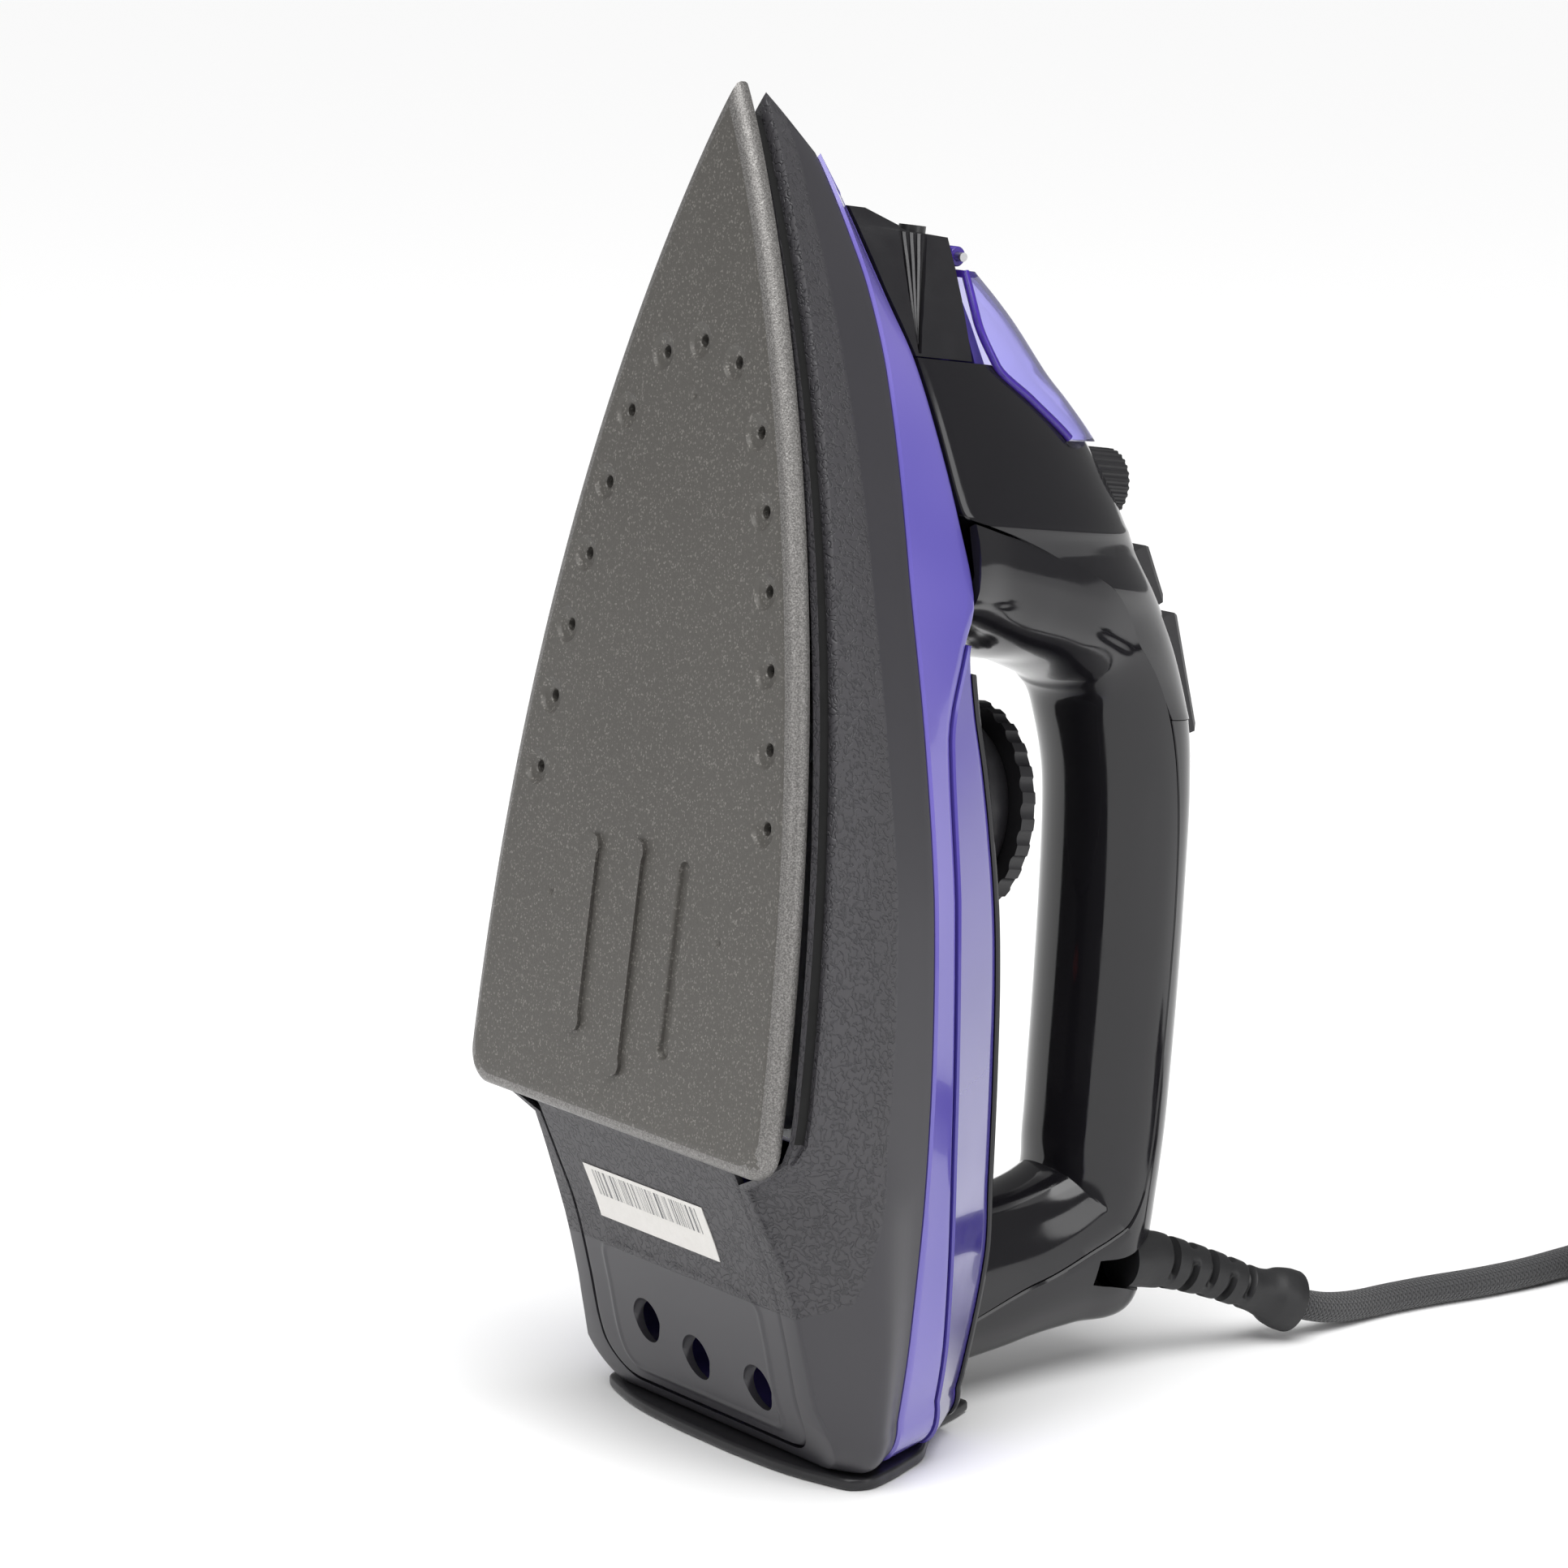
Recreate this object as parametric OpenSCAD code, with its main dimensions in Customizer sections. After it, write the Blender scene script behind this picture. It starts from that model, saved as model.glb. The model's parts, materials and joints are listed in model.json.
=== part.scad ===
// Steam iron standing on its heel.
// The shapes are drawn in the iron's working frame: X runs from the heel to the nose, Y to the
// left, Z up from the pressing face. stand() then turns each piece to the standing attitude,
// with +Z up, the nose at the top and the pressing face towards -X.

/* [Soleplate] */
// Length of the pressing face, heel edge to tip
plate_l = 225; // [188:1:270]
// Width of the pressing face at the heel edge
plate_w = 115; // [96:1:138]
// Thickness of the pressing plate
plate_t = 3; // [2.5:0.1:3.6]
// Radius of the rear corners
plate_corner_r = 7; // [4:0.5:12]
// Radius of a steam vent hole
vent_r = 1.2; // [0.8:0.1:1.8]
// Radius of the dish round a vent hole
vent_dish_r = 4.2; // [3:0.1:5]
// Number of vents down each side
vent_pairs = 7; // [4:1:8]
// Width of a groove in the plate
groove_w = 5; // [3:0.5:6]

/* [Body] */
// Gap between the plate's edge and the skirt
skirt_gap = 4.3; // [3.6:0.1:6]
// Wall of the moulded casings
wall = 2.4; // [2:0.1:3]
// Height of the skirt's lower rim over the pressing face
skirt_rim_z = 5; // [4:0.5:6]
// Angle that the standing iron leans back
lean = 8.5; // [7:0.5:10.5]
// Distance from the heel edge of the plate to the standing surface, square to that surface
heel_drop = 74.7; // [72:0.1:84]
// Thickness of the heel plate
heel_plate_t = 3; // [2:0.5:4]

/* [Handle] */
// Half width of the grip at its middle
grip_half_w = 17.5; // [14.5:0.5:21]
// Half height of the grip at its middle
grip_half_h = 16; // [14:0.5:18]

/* [Controls] */
// Radius of the temperature dial
dial_r = 24.5; // [20:0.5:29.5]
// Thickness of the temperature dial
dial_t = 4.6; // [3.5:0.1:6]
// Radius of the steam knob
knob_r = 8.2; // [6.8:0.1:9.9]
// Height of the steam knob
knob_h = 11; // [9:0.5:12]
// Half width of the two push buttons
button_half_w = 6.5; // [5:0.25:8]
// Travel of a push button
button_travel = 3; // [2:0.25:4]
// Running clearance between a shaft and its bore
run_gap = 0.06; // [0.03:0.01:0.1]
// Clearance between separate mouldings
fit_gap = 0.3; // [0.2:0.05:0.4]

/* [Cord] */
// Diameter of the mains cord
cord_d = 7.2; // [6:0.1:8.6]
// Radius of a plug pin
plug_pin_r = 2.4; // [2:0.1:2.8]
// Length of a plug pin
plug_pin_l = 19; // [16:0.5:23]
// Distance between the plug pins' centres
plug_pin_pitch = 19; // [16:0.5:23]

/* [Hidden] */

$fn = 48;
eps = 0.01;

// ---------------------------------------------------------------- placing
// The fore and aft places ahead of the plate's heel edge follow the plate's length
model_l = 225;
function px(x) = x > 0 ? x * plate_l / model_l : x;
function px_table(rows) = [for (r = rows) [px(r[0]), r[1]]];

// Push buttons: [x, z of the cap's middle, slope, half length], and the steam button's rear corner
spray_at = [px(129.5), 128.2, 30, 7.2];
steam_at = [px(107.6), 140.9, 21.6, 14.3];
steam_tip = [steam_at[0] - steam_at[3] * cos(steam_at[2]), steam_at[1] + steam_at[3] * sin(steam_at[2])];

// Half of the iron's depth from the plate's heel edge to the steam button's rear corner
centre_x = -(sin(lean) * steam_tip[0] + cos(lean) * steam_tip[1]) / 2;
module stand() {
    translate([centre_x, 0, heel_drop]) rotate([0, -(90 + lean), 180]) children();
}

// X of the plane that lies h over the standing surface, at height z of the working frame
function heel_x(z, h = 0) = tan(lean) * z - (heel_drop - h) / cos(lean);

// ---------------------------------------------------------------- surfaces from loops
// Faces turned so that the points of each run clockwise seen from outside
function total(v) = v * [for (i = v) 1];
function facing(p, f) = total([for (t = f) p[t[0]] * cross(p[t[1]], p[t[2]])]) < 0 ? f
    : [for (t = f) [t[2], t[1], t[0]]];

// Faces that join loop k to the next, for m loops of n points
function strip_faces(n, m, wrap) = [for (k = [0:m - (wrap ? 1 : 2)], i = [0:n - 1], t = [0, 1])
    let(a = k * n + i, b = k * n + (i + 1) % n, c = ((k + 1) % m) * n + (i + 1) % n,
        d = ((k + 1) % m) * n + i)
    t == 0 ? [a, b, c] : [a, c, d]];

// Faces across one loop of n points, where point i faces point n - i - pair
function cap_faces(n, pair) = [for (i = [0:floor((n - pair) / 2) - 1], t = [0, 1])
    let(p = (n - i - pair) % n, q = (n - i - 1 - pair) % n,
        f = t == 0 ? [i, i + 1, q] : [i, q, p])
    if (f[0] != f[1] && f[1] != f[2] && f[0] != f[2]) f];

// Tube through closed loops whose last joins its first
module loop_shell(loops) {
    points = [for (l = loops) each l];
    polyhedron(points, facing(points, strip_faces(len(loops[0]), len(loops), true)));
}

// Solid through closed loops, capped at both ends
module loop_solid(loops, pair = 0) {
    n = len(loops[0]);
    last = (len(loops) - 1) * n;
    points = [for (l = loops) each l];
    caps = cap_faces(n, pair);
    faces = concat(strip_faces(n, len(loops), false), [for (f = caps) [f[2], f[1], f[0]]],
        [for (f = caps) [f[0] + last, f[1] + last, f[2] + last]]);
    polyhedron(points, facing(points, faces));
}

function mirrored(half) = concat(half, [for (i = [len(half) - 1:-1:0])
    if (abs(half[i][1]) > eps) [half[i][0], -half[i][1], half[i][2]]]);

// ---------------------------------------------------------------- outline of the body
// Half width of a pointed outline, measured back from its nose
nose_power = 2.2;
nose_blend = 0.93;
function outline_half(x, nose, w) =
    let(u = min(1, max(0, (nose - x) / plate_l)))
    w * pow(max(0, 1 - pow(1 - u, nose_power)), nose_blend);

skirt_half = plate_w / 2 + skirt_gap;

// One level of the body: [nose, half width, inset along x, height along x, rear corner radius]
rim_level = [plate_l, skirt_half, px_table([[-70, 11], [-64, 12], [-58, 14.8], [-50, 17.3], [-36, 17.8],
    [-24, 17.8], [-12, 19.6], [-3, 20.6], [-1, 14], [1, 8], [4, 3], [8, 0.6], [14, 0]]),
    px_table([[-70, 42.5], [-66, 40], [-53, 31.6], [-39.5, 26.5], [-24.5, 20.3], [-12.5, 13.5],
        [-3, skirt_rim_z + 2.9], [2, skirt_rim_z], [225, skirt_rim_z]]), 9];
flank_level = [plate_l - 5.5, skirt_half + 0.4, px_table([[-70, 11.5], [-33, 4], [0, 0.4]]),
    px_table([[-70, 46], [-33, 35], [0, 25], [60, 21.5], [140, 17.5], [219, 14.5]]), 10];
band_level = [plate_l - 12.5, skirt_half - 1.8, px_table([[-67, 13.5], [-33, 5], [0, 1.5], [60, 0]]),
    px_table([[-67, 51.5], [-33, 46], [-7, 43], [27, 40.2], [60, 37.6], [95, 34.4], [128, 32],
        [168, 31.5], [185, 30], [197, 27.5], [212, 24]]), 11];
crease_level = [plate_l - 19.5, skirt_half - 2.8, px_table([[-65, 19], [-33, 7], [0, 3], [60, 0.5]]),
    px_table([[-65, 66], [-30, 57], [10, 50], [60, 45.4], [92, 43.5], [112, 48.5], [122, 52],
        [139, 49.5], [156, 46.3], [172, 42.7], [182, 38.8], [192, 35.4], [205, 31.7]]), 12];
top_level = [plate_l - 19.5, skirt_half - 2.8, px_table([[-60, 33], [-46, 26], [-20, 20], [-3, 17],
        [24, 13.5], [42, 11.2], [56, 9.4], [73, 7.4], [87, 5], [100, 2.8], [111, 0.6], [118, 0]]),
    px_table([[-60, 82], [-46, 79], [-20, 76.5], [-3, 72.6], [24, 68], [42, 65.2], [56, 62.8],
        [73, 59.3], [87, 55.6], [100, 52], [111, 50], [122, 52], [139, 49.5]]), 8];

function level_half(level, x) = outline_half(x, level[0], level[1]) - lookup(x, level[2]);
function level_z(level, x) = lookup(x, level[3]);

// Loop at one level; inset narrows it, front cuts it square, rise lifts it, cap limits its width
side_steps = 28;
corner_steps = 4;
uncapped = [[-200, 500], [500, 500]];
function level_ring(level, tail, inset = 0, front = 0, rise = 0, cap = uncapped) =
    let(
        nose = front > 0 ? front : level[0] - 3.2 * inset,
        back = tail + level[4],
        w = level[1] - inset,
        half_at = function(x) max(0, min(lookup(x, cap),
            front > 0 ? level_half(level, x) - inset
                : outline_half(x, nose, w) - lookup(x, level[2]))),
        power = front > 0 ? 1 : 1.5,
        side = [for (i = [0:side_steps])
            let(x = nose - (nose - back) * pow(i / side_steps, power))
            [x, half_at(x), level_z(level, x) + rise]],
        last = side[side_steps],
        bend = [for (i = [1:corner_steps])
            let(a = 90 * i / corner_steps, x = back - level[4] * sin(a))
            [x, last[1] - level[4] * (1 - cos(a)), level_z(level, x) + rise]]
    )
    mirrored(concat(side, bend));

// Rear end of each level, clear of the heel plate
function tail_at(z) = heel_x(z, heel_plate_t + fit_gap);
rim_tail = tail_at(40.5);
flank_tail = tail_at(45);
band_tail = tail_at(51.5);
crease_tail = tail_at(66);
top_tail = tail_at(82);

// ---------------------------------------------------------------- soleplate and heater
plate_lip = 1.6;
module plate_outline(inset = 0) {
    half = [for (i = [0:24])
        let(x = plate_l - inset * 2.2 - (plate_l - inset * 2.2) * pow(i / 24, 1.5))
        [x, outline_half(x, plate_l - inset * 2.2, plate_w / 2 - inset)]];
    shape = concat(half, [for (i = [24:-1:1]) [half[i][0], -half[i][1]]]);
    intersection() {
        polygon(shape);
        hull() for (s = [-1, 1]) {
            translate([inset + plate_corner_r, s * (plate_w / 2 - inset - plate_corner_r)])
                circle(plate_corner_r);
            translate([plate_l, s * (plate_w / 2 - inset - 1)]) square(2, center = true);
        }
    }
}

vent_start = 55;
vent_pitch = 16.1;
vent_edge = 10;
function vent_x(i) = plate_l - vent_start - (i == 0 ? 3.5 : 1 + vent_pitch * i);
function vent_y(i) = outline_half(vent_x(i), plate_l, plate_w / 2) - vent_edge - (i == 0 ? 6 : 0);
vents = concat([[plate_l - vent_start, 0]],
    [for (i = [0:vent_pairs - 1], s = [-1, 1]) [vent_x(i), s * vent_y(i)]]);
groove_span = 38;
groove_y = 17;
groove_depth = 1.2;

module soleplate() color("#6b6862") stand() difference() {
    union() {
        linear_extrude(plate_t) plate_outline();
        translate([0, 0, plate_t - eps]) linear_extrude(plate_lip + eps) difference() {
            plate_outline(0.6);
            plate_outline(2.6);
        }
    }
    for (v = vents) translate([v[0], v[1], 0]) {
        translate([0, 0, -1]) cylinder(r = vent_r, h = plate_t + 2);
        translate([0, 0, -eps]) cylinder(r1 = vent_dish_r, r2 = vent_r, h = 1);
    }
    for (k = [-1:1]) translate([px(40 - (k == 0 ? 2.5 : 0)), k * groove_y, -eps]) {
        long = groove_span + (k == 0 ? 8 : 0);
        translate([-long / 2, -groove_w / 2 + 1.5, 0]) cube([long, groove_w - 3, groove_depth]);
        for (s = [-1, 1]) translate([s * long / 2, 0, 0])
            cylinder(r = groove_w / 2 - 1, h = groove_depth);
    }
}

cast_top = 16;
element_r = 3.6;
element_y = 27;
element_z = plate_t + element_r + 1;
element_front = px(118);
element_back = 14;
chamber_half = 17;
chamber_x = [px(45), px(150)];
module element_path(r) {
    for (s = [-1, 1]) translate([element_back, s * element_y, element_z]) rotate([0, 90, 0])
        cylinder(r = r, h = element_front - element_back);
    translate([element_front, 0, element_z]) rotate([0, 0, -90]) rotate_extrude(angle = 180)
        translate([element_y, 0]) circle(r);
}

valve_x = px(147.5);
dial_x = px(73);
screw_places = [[px(150), 0], [px(24), 36], [px(24), -36], [px(90), 37], [px(90), -37]];
screw_r = 2;
shield_z = 21;
shield_t = 1.2;

module heater_casting() color("#b9bbbd") stand() difference() {
    union() {
        translate([0, 0, plate_t]) linear_extrude(cast_top - plate_t) plate_outline(9);
        for (p = screw_places) translate([p[0], p[1], plate_t])
            cylinder(r = screw_r + 2.6, h = shield_z - plate_t);
    }
    element_path(element_r + 0.02);
    for (s = [-1, 1]) translate([-1, s * element_y, element_z]) rotate([0, 90, 0])
        cylinder(r = element_r + 0.4, h = element_back + 2);
    translate([chamber_x[0], -chamber_half, cast_top - 8])
        cube([chamber_x[1] - chamber_x[0] - screw_r - 6, 2 * chamber_half, 9]);
    for (p = screw_places) translate([p[0], p[1], shield_z - 9]) cylinder(r = screw_r, h = 10);
    for (v = vents) translate([v[0], v[1], plate_t - 1]) cylinder(r = vent_r + 0.6, h = 6);
}

module heating_element() color("#8a8d90") stand() {
    element_path(element_r);
    for (s = [-1, 1]) translate([4, s * element_y, element_z]) rotate([0, 90, 0])
        cylinder(r = 1.2, h = element_back - 4 + eps);
}

module steam_chamber_cover() color("#c9cbcd") stand() difference() {
    translate([chamber_x[0] - 4, -chamber_half - 4, cast_top])
        cube([chamber_x[1] - chamber_x[0] - screw_r - 1, 2 * chamber_half + 8, 1.2]);
    translate([valve_x - 8, 0, cast_top - 1]) cylinder(r = 2, h = 4);
}

thermostat_top = 30;
module thermostat() color("#d8d4c8") stand() translate([dial_x, 0, cast_top + 1.2]) {
    difference() {
        union() {
            translate([-16, -8, 0]) cube([26, 16, 3]);
            cylinder(r = 6.5, h = thermostat_top - cast_top - 1.2);
        }
        translate([0, 0, 4]) cylinder(r = shaft_r + run_gap, h = 20);
    }
}

module thermal_fuse() color("#e9e6dc") stand() translate([px(30), 0, cast_top + 2.5]) {
    rotate([90, 0, 0]) cylinder(r = 2.5, h = 16, center = true);
    for (s = [-1, 1]) translate([-1.5, s * 11 - 3, -2.5]) cube([3, 6, 3]);
}

// Flat plate that follows the inside of the skirt
module inner_plate(z, t, inset, back) {
    nose = band_level[0] - 3.2 * wall - 1.32 - inset;
    half = [for (i = [0:20])
        let(x = nose - (nose - back) * pow(i / 20, 1.5))
        [x, max(0, outline_half(x, nose, band_level[1] - wall - 0.6 - inset))]];
    shape = concat(half, [for (i = [20:-1:1]) [half[i][0], -half[i][1]]]);
    translate([0, 0, z]) linear_extrude(t) polygon(shape);
}

module heat_shield() color("#9b9da0") stand() difference() {
    inner_plate(shield_z, shield_t, 4, 6);
    for (p = screw_places) translate([p[0], p[1], shield_z - 1]) cylinder(r = screw_r + 0.3, h = 4);
    translate([valve_x - 8, 0, shield_z - 1]) cylinder(r = seat_r + 1, h = 4);
    translate([dial_x, 0, shield_z - 1]) cylinder(r = 8, h = 4);
}

module casting_screws() color("#c0c2c4") stand() for (p = screw_places) translate([p[0], p[1], 0]) {
    translate([0, 0, shield_z - 8]) cylinder(r = screw_r - 0.02, h = 8 + shield_t);
    translate([0, 0, shield_z + shield_t]) cylinder(r = screw_r + 1.6, h = 2);
}

// ---------------------------------------------------------------- skirt and heel
panel_half = 38;
panel_tail = rim_tail + wall + 0.7 + fit_gap;
panel_front = -1;
panel_cap = [[-200, panel_half + fit_gap], [panel_front, panel_half + fit_gap],
    [panel_front + 4, 500], [500, 500]];
module skirt() color("#45434a") stand() loop_shell([
    level_ring(rim_level, rim_tail),
    level_ring(flank_level, flank_tail),
    level_ring(band_level, band_tail),
    level_ring(band_level, band_tail + wall, wall),
    level_ring(flank_level, flank_tail + wall, wall),
    level_ring(rim_level, rim_tail + wall, wall, rise = wall),
    level_ring(rim_level, rim_tail + wall + 0.1, wall + 0.1, rise = wall, cap = panel_cap),
    level_ring(rim_level, rim_tail + wall + 0.1, wall + 0.1, cap = panel_cap)
]);

ramp = [for (r = rim_level[3]) if (r[0] <= 2 && r[0] > -69) r];
function ramp_z(x) = level_z(rim_level, x);
vent_hole_r = 4.7;
panel_vents = [[-47, -17], [-51, 1], [-52, 24]];
module heel_cover() color("#48464c") stand() difference() {
    xs = concat([panel_front], [for (r = [len(ramp) - 1:-1:0])
        if (ramp[r][0] < panel_front - 0.5 && ramp[r][0] > panel_tail + 0.5) ramp[r][0]],
        [panel_tail]);
    intersection() {
        rotate([90, 0, 0]) linear_extrude(2 * panel_half, center = true)
            polygon(concat([for (x = xs) [x, ramp_z(x)]],
                [for (i = [len(xs) - 1:-1:0]) [xs[i], ramp_z(xs[i]) + wall]]));
        linear_extrude(100) polygon([for (p = level_ring(rim_level, panel_tail, wall,
            cap = [[-200, panel_half], [500, panel_half]])) [p[0], p[1]]]);
    }
    for (p = panel_vents) translate([p[0], p[1], ramp_z(p[0])]) rotate([0, -20, 0])
        cylinder(r = vent_hole_r, h = 4 * wall, center = true);
}

// Outline of the heel plate on the standing surface: [z, half width]
heel_outline = [[35.6, 10], [36.4, 24], [39, 38], [42, 46.5], [46, 48], [52.7, 46], [60, 42.5],
    [66.4, 39], [74, 31], [82, 23.5], [92, 18.5], [95.5, 16.5]];
module heel_plate() color("#1b1a1d") linear_extrude(heel_plate_t)
    translate([centre_x - heel_drop * tan(lean), 0]) polygon(concat(
        [for (r = heel_outline) [r[0] / cos(lean), r[1]]],
        [for (i = [len(heel_outline) - 1:-1:0]) [heel_outline[i][0] / cos(lean), -heel_outline[i][1]]]));

label_size = [13.5, 46];
module rating_label() color("#e8e6e2") stand() translate([-18.8, -4, ramp_z(-18.8) - 0.35])
    rotate([0, 30, 0]) cube([label_size[0], label_size[1], 0.3], center = true);

// ---------------------------------------------------------------- water tank
module tank_lower() color("#6f63c4") stand() loop_shell([
    level_ring(band_level, band_tail, 0.1, rise = fit_gap),
    level_ring(crease_level, crease_tail),
    level_ring(crease_level, crease_tail + wall, wall),
    level_ring(band_level, band_tail + wall, wall, rise = fit_gap)
]);

upper_front = px(113);
module tank_upper() color("#5448a4") stand() loop_shell([
    level_ring(crease_level, crease_tail, 0.1, front = upper_front, rise = 2 * fit_gap),
    level_ring(top_level, top_tail, front = upper_front),
    level_ring(top_level, top_tail + wall, wall, front = upper_front - wall),
    level_ring(crease_level, crease_tail + wall, wall, front = upper_front - wall, rise = 2 * fit_gap)
]);

floor_z = 25;
floor_legs = [[px(40), 40], [px(40), -40], [px(130), 22], [px(130), -22]];
module tank_floor() color("#5d52ad") stand() difference() {
    union() {
        inner_plate(floor_z, 2, 0, 4);
        for (p = floor_legs) translate([p[0], p[1], shield_z + shield_t])
            cylinder(r = 3, h = floor_z - shield_z - shield_t + eps);
    }
    translate([dial_x, 0, floor_z - 1]) cylinder(r = 7.2, h = 4);
    translate([valve_x - 8, 0, floor_z - 1]) cylinder(r = seat_r + 0.3, h = 4);
    for (p = screw_places) translate([p[0], p[1], floor_z - 1]) cylinder(r = screw_r + 2, h = 4);
}

deck_front = px(107);
cone_r = 32;
module deck() color("#1c1b1e") stand() difference() {
    loop_solid([
        level_ring(top_level, top_tail + wall + 0.4, wall + 0.4, front = deck_front - 1, rise = -2),
        level_ring(top_level, top_tail + wall + 0.3, wall + 0.3, front = deck_front - 0.9, rise = fit_gap),
        level_ring(top_level, top_tail, 0, front = deck_front, rise = fit_gap + 0.01),
        level_ring(top_level, top_tail + 3, 4.5, front = deck_front - 3, rise = 2.2)
    ]);
    translate([dial_x, 0, 40]) cylinder(r = cone_r + fit_gap, h = 60);
    translate([lamp_x, 0, 40]) cylinder(r = lamp_r + fit_gap, h = 60);
}

// ---------------------------------------------------------------- handle
// Stations along the handle's centre line, from the front foot over the grip to the rear foot:
// [x, z, direction, inner half height, outer half height, half width, seam height]
edge_half = level_half(crease_level, px(125));
handle = [
    [px(125), 52.6, 90, 15, 30, edge_half + 1, 13.5],
    [px(125), 66, 92, 16, 30, edge_half - 4, 11],
    [px(123.5), 80, 97, 16.5, 29, edge_half - 6.5, 9],
    [px(120), 95, 108, 14.8, 30, grip_half_w + 11, 7.5],
    [px(113.5), 113.5, 135, 16, 18, grip_half_w + 5, -0.7],
    [px(97), 124.3, 180, grip_half_h + 1.8, grip_half_h + 1.5, grip_half_w + 1.1, 3],
    [px(80), 129, 176, grip_half_h + 0.4, grip_half_h + 0.4, grip_half_w, 4.5],
    [px(52), 132, 178, grip_half_h, grip_half_h, grip_half_w, 5.5],
    [px(20), 134.3, 178, grip_half_h, grip_half_h, grip_half_w - 0.3, 5],
    [0, 135.3, 180, grip_half_h - 0.2, grip_half_h - 0.2, grip_half_w - 0.5, 4.5],
    [-10, 135, 190, 14.8, 16.4, grip_half_w - 0.8, 4.5],
    [-17, 133, 212, 14.5, 21.3, grip_half_w - 1.2, 4],
    [-19, 130, 232, 14.5, 30, grip_half_w - 1.6, 4],
    [-23, 124, 246, 15, 24.5, grip_half_w - 2, 3.5],
    [-29, 112, 256, 16.5, 21, grip_half_w - 2.2, 3.5],
    [-33, 96, 262, 17.3, 21.5, grip_half_w - 1.5, 7],
    [-37, 84, 264, 18, 22, grip_half_w, 9]
];
cover_first = 5;
arc_steps = 9;

// Point of a station's section: angle is measured from the side, out over the top
function station_point(s, angle, inset) =
    let(up = sin(s[2]), along = -cos(s[2]),
        t = (sin(angle) > 0 ? s[4] : s[3]) - inset,
        n = t * sin(angle), y = (s[5] - inset) * cos(angle))
    [s[0] + n * up, y, s[1] + n * along];
function seam_angle(s, lift) = asin((s[6] + lift) / (s[6] + lift > 0 ? s[4] : s[3]));
function arc_loop(s, from, to) = concat(
    [for (i = [0:arc_steps]) station_point(s, from + (to - from) * i / arc_steps, 0)],
    [for (i = [arc_steps:-1:0]) station_point(s, from + (to - from) * i / arc_steps, wall)]);

module grip_shell() color("#19181b") stand() loop_solid([for (s = handle)
    let(a = seam_angle(s, 0)) arc_loop(s, a, -180 - a)], 1);

// The outer cover stays clear of the seam, and of the standing surface
cover_lift = 0.25;
module handle_cover() color("#1c1b1e") stand() difference() {
    loop_solid([for (i = [cover_first:len(handle) - 1])
        let(s = handle[i], a = seam_angle(s, cover_lift)) arc_loop(s, a, 180 - a)], 1);
    gland_hole();
    button_slots();
}

// ---------------------------------------------------------------- front shell
// Sections across the front: [x, widest z, half width, crown z, base z]
front = [
    [px(171.7), 43, level_half(crease_level, px(171.7)), 88.5, 43.4],
    [px(165), 44.5, level_half(crease_level, px(165)), 96, 45],
    [px(158), 46, level_half(crease_level, px(158)), 103, 46.5],
    [px(150), 47.5, level_half(crease_level, px(150)), 109.5, 48],
    [px(144), 48.7, level_half(crease_level, px(144)), 114, 49.2],
    [px(139.4), 49.5, level_half(crease_level, px(139.4)), 117, 51],
    [px(138), 50, edge_half - 4.5, 118, 57],
    [px(136), 50.5, edge_half - 4.8, 119.3, 66],
    [px(133), 52, edge_half - 5, 121.5, 76.5],
    [px(127), 62, 32, 126, 92],
    [px(120), 80, 27.5, 131.3, 104],
    [px(112), 100, 23.5, 136, 113.5],
    [px(104), 114, 20.5, 139.7, 121.5],
    [px(97) + 0.2, 124.3, grip_half_w + 1.1, 124.3 + grip_half_h + 1.5, 127.3]
];
front_steps = 14;
function front_point(s, angle, inset) =
    [s[0], (s[2] - inset) * cos(angle), s[1] + (s[3] - s[1] - inset) * sin(angle)];
function front_base(s) = asin((s[4] + cover_lift - s[1]) / (s[3] - s[1]));
function front_loop(s, from, out, inset) = concat(
    [for (i = [0:front_steps]) front_point(s, from + (180 - 2 * from) * i / front_steps, -out)],
    [for (i = [front_steps:-1:0]) front_point(s, from + (180 - 2 * from) * i / front_steps, inset)]);

door_half = 16.5;
door_back = px(157.1);
module front_shell() color("#1b1a1d") stand() difference() {
    loop_solid([for (s = front) front_loop(s, front_base(s), 0, wall)], 1);
    rotate([90, 0, 0]) linear_extrude(200, center = true)
        polygon(concat([for (x = [door_back, px(165), px(171.7), px(190)]) [x, lookup(x, door_base)]],
            [[px(190), 200], [door_back, 200]]));
    translate([knob_x, 0, knob_z - 6]) cylinder(r = knob_r + fit_gap, h = 40);
    button_slots();
}

// Nose block below the water door: [x, lower half width, lower z, upper half width, upper z]
block = [
    [px(172), level_half(crease_level, px(172)) - 0.3, 43.4, 16.5, 60],
    [px(185), level_half(crease_level, px(185)) - 0.3, 38.4, 11.5, 59],
    [px(197.8), level_half(crease_level, px(197.8)) - 0.3, 34.4, 5.4, 57.8],
    [px(198.2), level_half(crease_level, px(198.2)) - 0.3, 34.3, 5.2, 47.5],
    [px(202), level_half(crease_level, px(202)) - 0.2, 33, 2.3, 37]
];
function block_loop(b, inset) = [[b[0], b[1] - inset, b[2]], [b[0], b[3] - inset, b[4] - inset],
    [b[0], -b[3] + inset, b[4] - inset], [b[0], -b[1] + inset, b[2]]];
nozzle_z = 52;
nozzle_r = 3;
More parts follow.
